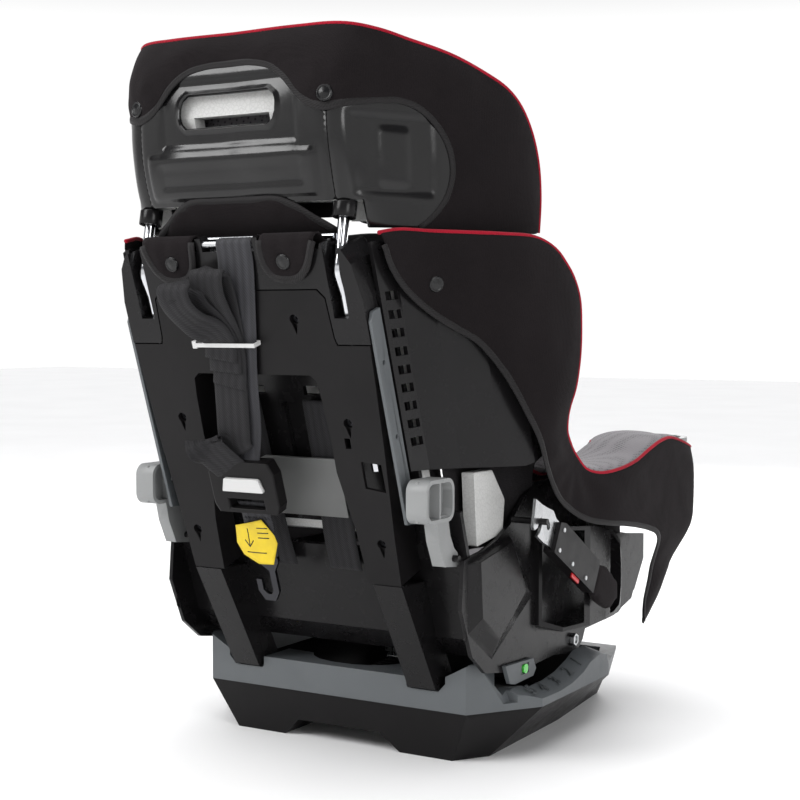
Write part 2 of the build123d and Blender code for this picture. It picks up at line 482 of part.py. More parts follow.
for side, s in (("left", 1), ("right", -1)):
    plate_out = [lp(*q) for q in [(-16, 2), (-20, 14), (-6, 15), (6, 17), (20, 20), (30, 16), (120, 13), (120, -13), (30, -13), (16, -15), (-2, -15), (-12, -11)]]
    hook = yz(plate_out, s * 203, s * 206)
    hook = hook - rod((s * 200, *STOW), (s * 210, *STOW), 3.5)
    hook = hook - yz([lp(-3.5, 0), lp(-3.5, -8), lp(-14, -18), lp(-2, -22), lp(3.5, -9), lp(3.5, 0)], s * 200, s * 210)
    hook = hook - rod((s * 200, *lp(17, 3)), (s * 210, *lp(17, 3)), 4.0)
    body = yz([lp(*q) for q in [(33, -17), (33, 14), (44, 18), (138, 17), (138, -17)]], s * 198.5, s * 210.5)
    body = body - yz([lp(*q) for q in [(20, 16.5), (120.4, 13.4), (120.4, -13.4), (20, -13.4)]], s * 202.7, s * 206.3)
    rivets = []
    for t_, w_ in ((42, -11), (42, 10), (76, -11), (112, -11)):
        body = body - rod((s * 206, *lp(t_, w_)), (s * 212, *lp(t_, w_)), 2.3)
        rivets.append(rod((s * 206.4, *lp(t_, w_)), (s * 211.6, *lp(t_, w_)), 2.2))
    slot_ = yz([lp(*q) for q in [(84, -18), (84, -9), (104, -9), (104, -18)]], s * 206.8, s * 209.0)
    body = body - slot_
    put(f"{side}_latch_hook", hook, *rivets)
    put(f"{side}_latch_body", body)
    put(f"{side}_latch_button", yz([lp(*q) for q in [(85, -21), (85, -13.5), (103, -13.5), (103, -21)]], s * 207.1, s * 208.7))
    put(f"{side}_latch_sleeve", yz([lp(*q) for q in [(138.5, -15), (138.5, 15), (160, 22), (196, 18), (204, 4), (190, -16), (160, -19)]], s * 199, s * 210))

# ================================================================ RECLINE HANDLE AND LOCK
# shown pulled out, which is how the lock pin clears the rack
HP_ = 9.0
handle = yz([(y - HP_, z) for y, z in [(-231, 88), (-231, 98), (-226, 109), (-216, 112), (-210, 108), (-216, 102), (-219, 91)]], -56, 56)
put("recline_handle", handle)
put("recline_link", Pos(0, -HP_, 0) * (rod((0, -215.2, 104.4), (0, -60, 79.5), 2.6) + rod((0, -60, 79.5), (0, 21, 79.5), 2.6) + Pos(0, -60, 79.5) * Sphere(2.6) - yz([(-240, 80), (-240, 130), (-209.5, 130), (-209.5, 108.2), (-215.8, 102.1), (-218, 90)], -10, 10)))
A8 = math.radians(-8)
LIFT = 4.5
pin_c = (PIVOT_Y + (181 - LIFT) * math.sin(A8), PIVOT_Z - (181 - LIFT) * math.cos(A8))
up8 = (-math.sin(A8), math.cos(A8))
fw8 = (math.cos(A8), math.sin(A8))


def pp(a, b):
    return (pin_c[0] + up8[0] * a + fw8[0] * b, pin_c[1] + up8[1] * a + fw8[1] * b)


lockpin = rod((-14, *pin_c), (14, *pin_c), 3.0) + yz([pp(0.5, -2.4), pp(0.5, 2.4), pp(8, 2.4), pp(8, 8), pp(25.4, 8), pp(25.4, -8), pp(8, -8), pp(8, -2.4)], -12, 12)
lockpin = lockpin - bx(-3.2, 3.2, 0, 70, 76.2, 87.2)
put("recline_lock_pin", lockpin)

# ================================================================ HARNESS
NB = (0, CS, -SN)
UB = (0, SN, CS)
# each strap: one bent band seen from the side, cut to its slanting width above and below y = 60
band_mid = [back(124, -80), back(124, -88), back(116, -89), back(40, -89), back(14, -90.5), (60, 254), (-30, 246.5)]
band_out = offset_path(band_mid, WEB_T / 2) + offset_path(band_mid, -WEB_T / 2)[::-1]
fs = []
for s in (1, -1):
    up = yz(band_out, s * 2, s * 62) & xz([(s * 32.5, 375), (s * 55.5, 375), (s * 45.5, 266), (s * 35.5, 240), (s * 12.5, 240), (s * 22.5, 266)], 60, 260)
    low = yz(band_out, s * 0.4, s * 62) & xy([(s * 35.5, 60), (s * 23.5, -40), (s * 0.5, -40), (s * 12.5, 60)], 200, 300)
    fs.append(up + low)
put("shoulder_straps", *fs)
put("shoulder_pads", *[lean_face([(s * 42 - 20, 54), (s * 42 + 20, 54), (s * 44 + 20, 116), (s * 44 - 20, 116)], -99, -90.6) for s in (1, -1)])
rs = []
for s in (1, -1):
    rs.append(lean_face([(s * 40 - 18, -55), (s * 40 + 18, -55), (s * 42 + 18, 118), (s * 42 - 18, 118)], -33.4, -32.0))
put("rear_straps", *rs)
put("guide_plate", lean_face([(38, 6), (38, 58), (26, 63), (-56, 63), (-64, 52), (-64, 40), (-56, 40), (-56, 4), (30, 4)], -29, -26))
put("crotch_strap", bx(-19, 19, -63, -61.6, 104.5, 194))
bk = xz([(-20, 195), (20, 195), (23, 225), (19, 243), (-19, 243), (-23, 225)], -71, -52)
bk = bk - xz([(-11, 203), (11, 203), (11, 225), (-11, 225)], -72, -65) - bx(-16, 16, -64.6, -59.4, 228, 250)
put("buckle_body", bk)
put("buckle_button", xz([(-10.5, 203.5), (10.5, 203.5), (10.5, 224.5), (-10.5, 224.5)], -72.5, -69.2))
put("buckle_tongues", *[(bx(min(s * 1, s * 15), max(s * 1, s * 15), -63.5, -60.5, 230, 246.0) + bx(min(s * 1, s * 24), max(s * 1, s * 24), -63.5, -44, 244.2, 247.0)) - bx(min(s * 3.5, s * 21), max(s * 3.5, s * 21), -50, -46, 240, 250) for s in (1, -1)])
clip = lean_face([(-50, 30), (50, 30), (54, 40), (50, 50), (-50, 50), (-54, 40)], -98, -90.4)
clip = clip - lean_face([(-9, 33), (9, 33), (9, 47), (-9, 47)], -100, -94)
put("chest_clip", clip)
put("chest_clip_button", lean_face([(-8.5, 33.5), (8.5, 33.5), (8.5, 46.5), (-8.5, 46.5)], -99.3, -97))
put("harness_adjuster", bx(-20, 20, -241, -237, 150, 176) - bx(-14, 14, -245, -235, 158, 166))
put("harness_release_lever", bx(-13.4, 13.4, -246, -241.4, 160, 174))
put("adjuster_strap", bx(-12.5, 12.5, -239.7, -238.3, 119, 149.6))

# ================================================================ TETHER
loop = []
for a in range(180, -1, -30):
    ca, sa = math.cos(math.radians(a)), math.sin(math.radians(a))
    loop.append(((-8, *back(276 + 4.7 * sa, -4 + 4.7 * ca)), (1, 0, 0), (0, CS * ca + SN * sa, -SN * ca + CS * sa)))
main_web = ribbon(loop + [
    ((-7.6, *back(266, 1.6)), (1, 0, 0.02), (0, CS, -SN)),
    ((-4, *back(240, 3.0)), (1, 0, 0.1), (0, CS, -SN)),
    ((14, *back(150, 3.0)), (1, 0, 0.15), (0, CS, -SN)),
    ((24, *back(88, 3.0)), (1, 0, 0.12), (0, CS, -SN)),
    ((26, *back(79.5, 5.0)), (1, 0, 0.12), (0, CS, -SN)),
], WEB_W / 2, WEB_T)
slack = lean_face([(22, 92), (60, 90), (56, 112), (46, 150), (44, 190), (58, 212), (62, 240), (26, 242), (14, 214), (8, 190), (10, 150), (20, 112)], 5.0, 8.8)
lower_web = lean_face([(12, -24), (42, -24), (44, 21.7), (10, 21.7)], 2.0, 3.4)
put("tether_strap", main_web, slack, lower_web)
zt = lean_face([(-16.5, 184), (50, 184), (50, 188), (-16.5, 188)], 0.4, 10.8) - lean_face([(-15.3, 180), (48.6, 180), (48.6, 192), (-15.3, 192)], 1.1, 10.1)
put("zip_tie", zt + lean_face([(49, 182.5), (54, 182.5), (54, 189.5), (49, 189.5)], 4, 9.8))
adj = lean_face([(-8, 22), (60, 22), (64, 30), (64, 62), (58, 73.4), (-6, 73.4), (-11, 62), (-11, 30)], 1.0, 15)
adj = adj - lean_face([(2, 44), (50, 44), (46, 58), (6, 58)], 9.6, 20) - lean_face([(6, 26), (46, 26), (46, 36), (6, 36)], -2, 20)
put("tether_adjuster", adj)
put("tether_release_button", lean_face([(2.6, 44.5), (49.4, 44.5), (45.4, 57.5), (6.6, 57.5)], 12.6, 17.6))
put("tether_tag", lean_face([(14, -34), (50, -24), (52, 4), (20, 12), (6, -6)], 4.2, 4.8))
hk = lean_face([(14, -24.4), (14, -34), (20, -44), (20, -66), (26, -76), (38, -76), (44, -66), (44, -54), (38, -54), (38, -65), (34, -69), (29, -69), (26.5, -65), (26.5, -44), (40, -34), (40, -24.4)], -1, 2.5)
put("tether_hook", hk)

print(len(NODES), "nodes")
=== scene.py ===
import bpy, bmesh, math
import numpy as np
from mathutils import Vector, Matrix
from mathutils import noise as mnoise
from mathutils.geometry import delaunay_2d_cdt


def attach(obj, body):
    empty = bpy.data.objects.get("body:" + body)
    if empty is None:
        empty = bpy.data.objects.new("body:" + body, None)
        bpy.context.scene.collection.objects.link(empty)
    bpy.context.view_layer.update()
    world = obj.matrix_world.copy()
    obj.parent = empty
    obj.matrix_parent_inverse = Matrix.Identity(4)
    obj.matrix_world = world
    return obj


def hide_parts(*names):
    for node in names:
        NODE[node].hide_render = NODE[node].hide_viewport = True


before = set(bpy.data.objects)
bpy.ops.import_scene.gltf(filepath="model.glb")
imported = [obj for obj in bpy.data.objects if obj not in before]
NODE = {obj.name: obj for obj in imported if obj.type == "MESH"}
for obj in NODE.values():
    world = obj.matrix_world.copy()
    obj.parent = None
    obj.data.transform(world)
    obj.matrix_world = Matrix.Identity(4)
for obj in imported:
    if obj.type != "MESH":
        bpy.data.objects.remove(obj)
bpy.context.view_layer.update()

scene = bpy.context.scene
MM = 0.001
SN, CS = math.sin(math.radians(18.5)), math.cos(math.radians(18.5))


# ------------------------------------------------------------ camera
cam_data = bpy.data.cameras.new("cam")
cam_data.lens = 70.02
cam_data.sensor_width = 36
cam = bpy.data.objects.new("cam", cam_data)
scene.collection.objects.link(cam)
yaw, pitch = math.radians(31), math.radians(2.943)
look = Vector((math.sin(yaw) * math.cos(pitch), -math.cos(yaw) * math.cos(pitch), -math.sin(pitch)))
cam.location = (-0.83768, 1.42909, 0.420)
cam.rotation_mode = "QUATERNION"
cam.rotation_quaternion = look.to_track_quat("-Z", "Y")
scene.camera = cam


# ------------------------------------------------------------ geometry helpers (millimetres in, metres out)
def back(s, n):
    return (244 + SN * s + CS * n, 224 + CS * s - SN * n)


def B3(x, s, n):
    y, z = back(s, n)
    return (x, y, z)


def make(name, verts, faces, mat, smooth=True):
    me = bpy.data.meshes.new(name)
    me.from_pydata([tuple(c * MM for c in v) for v in verts], [], [tuple(f) for f in faces])
    me.update()
    ob = bpy.data.objects.new(name, me)
    scene.collection.objects.link(ob)
    me.materials.append(mat)
    if smooth:
        me.polygons.foreach_set("use_smooth", [True] * len(me.polygons))
    return ob


def spline(pts, step, closed=False):
    """Smooth line through the points (Catmull-Rom with chord spacing), sampled about every step."""
    P = [np.array(p, float) for p in pts]
    if closed:
        P = [P[-1]] + P + [P[0], P[1]]
    else:
        P = [2 * P[0] - P[1]] + P + [2 * P[-1] - P[-2]]
    out = []
    for i in range(1, len(P) - 2):
        p0, p1, p2, p3 = P[i - 1], P[i], P[i + 1], P[i + 2]
        t0 = 0.0
        t1 = t0 + max(1e-6, np.linalg.norm(p1 - p0)) ** 0.5
        t2 = t1 + max(1e-6, np.linalg.norm(p2 - p1)) ** 0.5
        t3 = t2 + max(1e-6, np.linalg.norm(p3 - p2)) ** 0.5
        n = max(1, int(round(np.linalg.norm(p2 - p1) / step)))
        for k in range(n):
            t = t1 + (t2 - t1) * k / n
            a1 = (t1 - t) / (t1 - t0) * p0 + (t - t0) / (t1 - t0) * p1
            a2 = (t2 - t) / (t2 - t1) * p1 + (t - t1) / (t2 - t1) * p2
            a3 = (t3 - t) / (t3 - t2) * p2 + (t - t2) / (t3 - t2) * p3
            b1 = (t2 - t) / (t2 - t0) * a1 + (t - t0) / (t2 - t0) * a2
            b2 = (t3 - t) / (t3 - t1) * a2 + (t - t1) / (t3 - t1) * a3
            out.append((t2 - t) / (t2 - t1) * b1 + (t - t1) / (t2 - t1) * b2)
    if not closed:
        out.append(P[-2])
    return out


def resample(pts, step, closed=False):
    P = [np.array(p, float) for p in pts]
    if closed:
        P = P + [P[0]]
    out = []
    for a, b in zip(P[:-1], P[1:]):
        n = max(1, int(round(np.linalg.norm(b - a) / step)))
        for k in range(n):
            out.append(a + (b - a) * k / n)
    if not closed:
        out.append(P[-1])
    return out


def inside(P, poly):
    x, y = P[:, 0], P[:, 1]
    c = np.zeros(len(P), bool)
    q = np.array(poly, float)
    j = len(q) - 1
    for i in range(len(q)):
        xi, yi, xj, yj = q[i, 0], q[i, 1], q[j, 0], q[j, 1]
        hit = ((yi > y) != (yj > y)) & (x < (xj - xi) * (y - yi) / ((yj - yi) if yj != yi else 1e-9) + xi)
        c ^= hit
        j = i
    return c


def dist_to(P, line, closed=False):
    """Distance of 2-D points to a polyline."""
    q = np.array(line, float)
    if closed:
        q = np.vstack([q, q[:1]])
    best = np.full(len(P), 1e9)
    for a, b in zip(q[:-1], q[1:]):
        d = b - a
        L = max(1e-9, float(d @ d))
        t = np.clip(((P - a) @ d) / L, 0, 1)
        best = np.minimum(best, np.linalg.norm(P - (a + t[:, None] * d), axis=1))
    return best


def panel(name, outline, f, step, mat, thick=1.6, holes=(), offset=-1.0, keep_corners=True):
    """A cloth panel: its outline in flat coordinates, filled with triangles and carried into space by f(points) -> points."""
    ring = resample(outline, step, closed=True)
    rings = [ring] + [resample(h, step * 0.8, closed=True) for h in holes]
    pts = []
    edges = []
    for r in rings:
        k = len(pts)
        pts += [tuple(p[:2]) for p in r]
        edges += [(k + i, k + (i + 1) % len(r)) for i in range(len(r))]
    bnd = np.array(pts)
    lo, hi = bnd.min(0), bnd.max(0)
    grid = []
    row = 0
    y = lo[1]
    while y <= hi[1]:
        x = lo[0] + (step / 2 if row % 2 else 0)
        while x <= hi[0]:
            grid.append((x, y))
            x += step
        y += step * 0.866
        row += 1
    G = np.array(grid)
    ok = inside(G, rings[0])
    for r in rings[1:]:
        ok &= ~inside(G, r)
    for r in rings:
        ok &= dist_to(G, r, True) > step * 0.55
    G = G[ok]
    allp = [Vector(p) for p in pts] + [Vector(p) for p in G]
    vs, es, fs, *_ = delaunay_2d_cdt(allp, edges, [], 0, 1e-5)
    V = np.array([tuple(v) for v in vs])
    F = np.array([tuple(t) for t in fs if len(t) == 3])
    c = V[F].mean(1)
    ok = inside(c, rings[0])
    for r in rings[1:]:
        ok &= ~inside(c, r)
    F = F[ok]
    area = np.abs(np.cross(V[F[:, 1]] - V[F[:, 0]], V[F[:, 2]] - V[F[:, 0]]))
    F = F[area > 1e-3]
    used = np.unique(F)
    remap = -np.ones(len(V), int)
    remap[used] = np.arange(len(used))
    V, F = V[used], remap[F]
    W = f(V)
    ob = make(name, W, F, mat)
    uv = ob.data.uv_layers.new(name="flat")
    idx = np.zeros(len(ob.data.loops), int)
    ob.data.loops.foreach_get("vertex_index", idx)
    uv.data.foreach_set("uv", (V[idx] * MM).ravel())
    if thick:
        m = ob.modifiers.new("thick", "SOLIDIFY")
        m.thickness = thick * MM
        m.offset = offset
        m.use_rim = True
    return ob


def sweep(name, pts, section, mat, closed=False, up=None, caps=True):
    """Section (2-D points) carried along points. up: one direction or one for each point, that the section's second axis follows."""
    P = [Vector(p) for p in pts]
    n = len(P)
    T = []
    for i in range(n):
        a = P[(i - 1) % n] if (closed or i > 0) else P[i]
        b = P[(i + 1) % n] if (closed or i < n - 1) else P[i]
        T.append((b - a).normalized())
    if up is None:
        ref = Vector((0, 0, 1)) if abs(T[0].z) < 0.9 else Vector((1, 0, 0))
        U = []
        for i in range(n):
            if i == 0:
                u = (ref - T[0] * ref.dot(T[0])).normalized()
            else:
                u = U[-1] - T[i] * U[-1].dot(T[i])
                u = u.normalized() if u.length > 1e-6 else U[-1]
            U.append(u)
    else:
        ups = [Vector(up)] * n if not hasattr(up[0], "__len__") else [Vector(u) for u in up]
        U = []
        for i in range(n):
            u = ups[i] - T[i] * ups[i].dot(T[i])
            U.append(u.normalized() if u.length > 1e-6 else Vector((0, 0, 1)))
    verts, faces, uvs = [], [], []
    m = len(section)
    length = 0.0
    Ls = []
    for i in range(n):
        if i:
            length += (P[i] - P[i - 1]).length
        Ls.append(length)
        S = T[i].cross(U[i])
        for a, b in section:
            verts.append(tuple(P[i] + S * a + U[i] * b))
    last = n if closed else n - 1
    floops = []
    for i in range(last):
        for j in range(m):
            a = i * m + j
            b = i * m + (j + 1) % m
            c = ((i + 1) % n) * m + (j + 1) % m
            d = ((i + 1) % n) * m + j
            faces.append((a, b, c, d))
            l0, l1 = Ls[i], (Ls[i + 1] if i + 1 < n else Ls[i] + (P[0] - P[i]).length)
            w0, w1 = section[j][0], section[(j + 1) % m][0]
            floops.append([(w0, l0), (w1, l0), (w1, l1), (w0, l1)])
    if caps and not closed:
        faces.append(tuple(range(m))[::-1])
        floops.append([(section[j][0], 0) for j in range(m)][::-1])
        faces.append(tuple((n - 1) * m + j for j in range(m)))
        floops.append([(section[j][0], length) for j in range(m)])
    ob = make(name, verts, faces, mat)
    uv = ob.data.uv_layers.new(name="flat")
    k = 0
    for fl in floops:
        for q in fl:
            uv.data[k].uv = (q[0] * MM, q[1] * MM)
            k += 1
    return ob


def circle(r, n=10, flat=1.0):
    return [(r * math.cos(2 * math.pi * k / n), flat * r * math.sin(2 * math.pi * k / n)) for k in range(n)]


def web_section(w, t=1.5, ribs=0):
    """Webbing section: thin, with rolled edges and a slight rib across its width."""
    n = 10
    top = [(-w / 2 + w * k / n, t / 2 * (1 + (0.25 if k % 2 else 0))) for k in range(n + 1)]
    top[0] = (-w / 2, t * 0.25)
    top[-1] = (w / 2, t * 0.25)
    return top + [(x, -y) for x, y in top[::-1]]


def join(name, obs):
    bpy.ops.object.select_all(action="DESELECT")
    for o in obs:
        o.select_set(True)
        bpy.context.view_layer.objects.active = o
    for o in obs:
        bpy.context.view_layer.objects.active = o
        for m in list(o.modifiers):
            bpy.ops.object.modifier_apply(modifier=m.name)
    bpy.context.view_layer.objects.active = obs[0]
    bpy.ops.object.join()
    obs[0].name = name
    return obs[0]


def lathe(name, prof, centre, axis, mat, n=28):
    """Turned piece: (radius, height) profile about an axis."""
    c, ax = Vector(centre), Vector(axis).normalized()
    u = ax.orthogonal().normalized()
    v = ax.cross(u)
    verts, faces = [], []
    for r, h in prof:
        for k in range(n):
            a = 2 * math.pi * k / n
            verts.append(tuple(c + ax * h + u * (r * math.cos(a)) + v * (r * math.sin(a))))
    for i in range(len(prof) - 1):
        for k in range(n):
            faces.append((i * n + k, i * n + (k + 1) % n, (i + 1) * n + (k + 1) % n, (i + 1) * n + k))
    faces.append(tuple(range(n))[::-1])
    faces.append(tuple((len(prof) - 1) * n + k for k in range(n)))
    return make(name, verts, faces, mat)


# ------------------------------------------------------------ materials
def new_mat(name):
    m = bpy.data.materials.new(name)
    m.use_nodes = True
    nt = m.node_tree
    for n in list(nt.nodes):
        nt.nodes.remove(n)
    out = nt.nodes.new("ShaderNodeOutputMaterial")
    b = nt.nodes.new("ShaderNodeBsdfPrincipled")
    nt.links.new(b.outputs[0], out.inputs[0])
    tc = nt.nodes.new("ShaderNodeTexCoord")
    return m, nt, b, tc


def N(nt, kind, **kw):
    n = nt.nodes.new(kind)
    for k, v in kw.items():
        setattr(n, k, v)
    return n


def noise(nt, vec, scale, detail=3, rough=0.55, dist=0.0):
    n = N(nt, "ShaderNodeTexNoise")
    n.inputs["Scale"].default_value = scale
    n.inputs["Detail"].default_value = detail
    n.inputs["Roughness"].default_value = rough
    n.inputs["Distortion"].default_value = dist
    nt.links.new(vec, n.inputs["Vector"])
    return n.outputs[0]


def ramp(nt, fac, stops):
    r = N(nt, "ShaderNodeValToRGB")
    el = r.color_ramp.elements
    el[0].position, el[0].color = stops[0][0], (*stops[0][1], 1)
    el[1].position, el[1].color = stops[-1][0], (*stops[-1][1], 1)
    for p, c in stops[1:-1]:
        e = el.new(p)
        e.color = (*c, 1)
    nt.links.new(fac, r.inputs[0])
    return r.outputs[0]


def maprange(nt, val, a, b, c, d):
    r = N(nt, "ShaderNodeMapRange")
    for k, v in zip(("From Min", "From Max", "To Min", "To Max"), (a, b, c, d)):
        r.inputs[k].default_value = v
    nt.links.new(val, r.inputs["Value"])
    return r.outputs[0]


def math_(nt, op, a, b=None):
    r = N(nt, "ShaderNodeMath", operation=op)
    for i, v in enumerate((a, b)):
        if v is None:
            continue
        if isinstance(v, (int, float)):
            r.inputs[i].default_value = v
        else:
            nt.links.new(v, r.inputs[i])
    return r.outputs[0]


def bump(nt, b, height, strength, dist, prev=None):
    n = N(nt, "ShaderNodeBump")
    n.inputs["Strength"].default_value = strength
    n.inputs["Distance"].default_value = dist
    nt.links.new(height, n.inputs["Height"])
    if prev is not None:
        nt.links.new(prev, n.inputs["Normal"])
    nt.links.new(n.outputs[0], b.inputs["Normal"])
    return n.outputs[0]


def vary(c, k):
    return tuple(min(1, max(0, x * k)) for x in c)


def plastic(name, col, rough=0.42, grain=0.25, gscale=900, coat=0.0, spread=0.12, scuff=0.1, spec=0.5):
    """Moulded plastic: fine grain, faint cloudiness and scuffs."""
    m, nt, b, tc = new_mat(name)
    vec = tc.outputs["Object"]
    cloud = noise(nt, vec, 9, 4)
    c = ramp(nt, cloud, [(0.3, vary(col, 1 - spread)), (0.7, vary(col, 1 + spread))])
    nt.links.new(c, b.inputs["Base Color"])
    sc = noise(nt, vec, 60, 5, 0.65, 0.4)
    r = maprange(nt, sc, 0.3, 0.75, rough - scuff * 0.5, rough + scuff)
    nt.links.new(r, b.inputs["Roughness"])
    g = noise(nt, vec, gscale, 2)
    p = bump(nt, b, g, grain, 0.0003)
    w = noise(nt, vec, 22, 2)
    bump(nt, b, w, 0.06, 0.004, p)
    b.inputs["Specular IOR Level"].default_value = spec
    if coat:
        b.inputs["Coat Weight"].default_value = coat
        b.inputs["Coat Roughness"].default_value = 0.12
    return m


def metal(name, col, rough, stretch=(40, 40, 900), scratch=0.15):
    m, nt, b, tc = new_mat(name)
    mp = N(nt, "ShaderNodeMapping")
    mp.inputs["Scale"].default_value = stretch
    nt.links.new(tc.outputs["Object"], mp.inputs[0])
    s = noise(nt, mp.outputs[0], 1.0, 4)
    cl = noise(nt, tc.outputs["Object"], 35, 3)
    c = ramp(nt, cl, [(0.3, vary(col, 0.86)), (0.7, col)])
    nt.links.new(c, b.inputs["Base Color"])
    b.inputs["Metallic"].default_value = 1.0
    r = maprange(nt, s, 0.3, 0.7, max(0.03, rough - 0.06), rough + 0.12)
    nt.links.new(r, b.inputs["Roughness"])
    bump(nt, b, s, scratch, 0.0002)
    return m


def knit(name, col, col2, cell=0.0011, rough=0.92, sheen=0.045, depth=0.9):
    """Knitted cover fabric: fine interlocking rows, fuzzy sheen and soft mottling."""
    m, nt, b, tc = new_mat(name)
    vec = tc.outputs["Object"]
    v = N(nt, "ShaderNodeTexVoronoi", feature="F1")
    v.inputs["Scale"].default_value = 1 / cell
    v.inputs["Randomness"].default_value = 0.45
    nt.links.new(vec, v.inputs["Vector"])
    fuzz = noise(nt, vec, 2200, 2)
    mott = noise(nt, vec, 14, 4)
    mix = N(nt, "ShaderNodeMixRGB", blend_type="MIX")
    c1 = ramp(nt, v.outputs["Distance"], [(0.15, vary(col, 1.25)), (0.75, col2)])
    c2 = ramp(nt, mott, [(0.3, vary(col, 0.75)), (0.7, vary(col, 1.35))])
    nt.links.new(c1, mix.inputs[1])
    nt.links.new(c2, mix.inputs[2])
    mix.inputs[0].default_value = 0.45
    nt.links.new(mix.outputs[0], b.inputs["Base Color"])
    rr = maprange(nt, fuzz, 0.2, 0.8, rough - 0.1, min(1, rough + 0.08))
    nt.links.new(rr, b.inputs["Roughness"])
    b.inputs["Sheen Weight"].default_value = sheen
    b.inputs["Sheen Roughness"].default_value = 0.55
    b.inputs["Sheen Tint"].default_value = (0.75, 0.7, 0.72, 1)
    b.inputs["Specular IOR Level"].default_value = 0.10
    inv = math_(nt, "SUBTRACT", 1.0, v.outputs["Distance"])
    h = math_(nt, "ADD", inv, math_(nt, "MULTIPLY", fuzz, 0.5))
    p = bump(nt, b, h, 0.5 * depth, 0.0006)
    wr = noise(nt, vec, 26, 3, 0.5, 0.6)
    bump(nt, b, wr, 0.22 * depth, 0.004, p)
    return m


def air_mesh(name, col, col2, pitch=0.0034):
    """Spacer mesh: rows of little round holes."""
    m, nt, b, tc = new_mat(name)
    mp = N(nt, "ShaderNodeMapping")
    mp.inputs["Scale"].default_value = (1 / pitch, 1 / pitch, 1 / pitch)
    mp.inputs["Rotation"].default_value = (0.3, 0.2, 0.5)
    nt.links.new(tc.outputs["Object"], mp.inputs[0])
    v = N(nt, "ShaderNodeTexVoronoi", feature="F1")
    v.inputs["Scale"].default_value = 1.0
    v.inputs["Randomness"].default_value = 0.12
    nt.links.new(mp.outputs[0], v.inputs["Vector"])
    c = ramp(nt, v.outputs["Distance"], [(0.2, col2), (0.38, col), (1.0, vary(col, 1.15))])
    nt.links.new(c, b.inputs["Base Color"])
    b.inputs["Roughness"].default_value = 0.85
    b.inputs["Sheen Weight"].default_value = 0.2
    b.inputs["Specular IOR Level"].default_value = 0.25
    fz = noise(nt, tc.outputs["Object"], 1500, 2)
    h = math_(nt, "ADD", math_(nt, "MINIMUM", v.outputs["Distance"], 0.45), math_(nt, "MULTIPLY", fz, 0.15))
    bump(nt, b, h, 0.9, 0.0012)
    return m


def webbing(name, col, rough=0.62, sheen=0.15, lines=5.0):
    """Woven webbing: a fine twill across and rows along, from the strap's own flat coordinates."""
    m, nt, b, tc = new_mat(name)
    uv = tc.outputs["UV"]
    tw = N(nt, "ShaderNodeTexWave", wave_type="BANDS", bands_direction="DIAGONAL")
    tw.inputs["Scale"].default_value = 220
    tw.inputs["Distortion"].default_value = 0.6
    tw.inputs["Detail"].default_value = 1.0
    nt.links.new(uv, tw.inputs["Vector"])
    ln = N(nt, "ShaderNodeTexWave", wave_type="BANDS", bands_direction="X")
    ln.inputs["Scale"].default_value = lines * 8
    ln.inputs["Distortion"].default_value = 0.2
    nt.links.new(uv, ln.inputs["Vector"])
    fz = noise(nt, tc.outputs["Object"], 1400, 2)
    ml = noise(nt, tc.outputs["Object"], 18, 3)
    s = math_(nt, "ADD", math_(nt, "MULTIPLY", tw.outputs[1], 0.4), math_(nt, "MULTIPLY", ln.outputs[1], 0.6))
    c1 = ramp(nt, s, [(0.15, vary(col, 0.62)), (0.85, vary(col, 1.5))])
    c2 = ramp(nt, ml, [(0.3, vary(col, 0.8)), (0.7, vary(col, 1.2))])
    mix = N(nt, "ShaderNodeMixRGB", blend_type="MIX")
    mix.inputs[0].default_value = 0.35
    nt.links.new(c1, mix.inputs[1])
    nt.links.new(c2, mix.inputs[2])
    nt.links.new(mix.outputs[0], b.inputs["Base Color"])
    r = maprange(nt, fz, 0.2, 0.8, rough - 0.1, rough + 0.15)
    nt.links.new(r, b.inputs["Roughness"])
    b.inputs["Sheen Weight"].default_value = sheen * 0.3
    b.inputs["Specular IOR Level"].default_value = 0.25
    h = math_(nt, "ADD", s, math_(nt, "MULTIPLY", fz, 0.4))
    bump(nt, b, h, 0.75, 0.0008)
    return m


def eps_foam(name, col):
    m, nt, b, tc = new_mat(name)
    vec = tc.outputs["Object"]
    v = N(nt, "ShaderNodeTexVoronoi", feature="DISTANCE_TO_EDGE")
    v.inputs["Scale"].default_value = 260
    nt.links.new(vec, v.inputs["Vector"])
    ml = noise(nt, vec, 30, 4)
    c = ramp(nt, ml, [(0.3, vary(col, 0.9)), (0.7, col)])
    mix = N(nt, "ShaderNodeMixRGB", blend_type="MULTIPLY")
    mix.inputs[0].default_value = 0.5
    nt.links.new(c, mix.inputs[1])
    nt.links.new(ramp(nt, v.outputs["Distance"], [(0.0, (0.72, 0.72, 0.72)), (0.12, (1, 1, 1))]), mix.inputs[2])
    nt.links.new(mix.outputs[0], b.inputs["Base Color"])
    r = maprange(nt, ml, 0.3, 0.7, 0.7, 0.9)
    nt.links.new(r, b.inputs["Roughness"])
    bump(nt, b, math_(nt, "MINIMUM", v.outputs["Distance"], 0.15), 0.6, 0.0012)
    return m


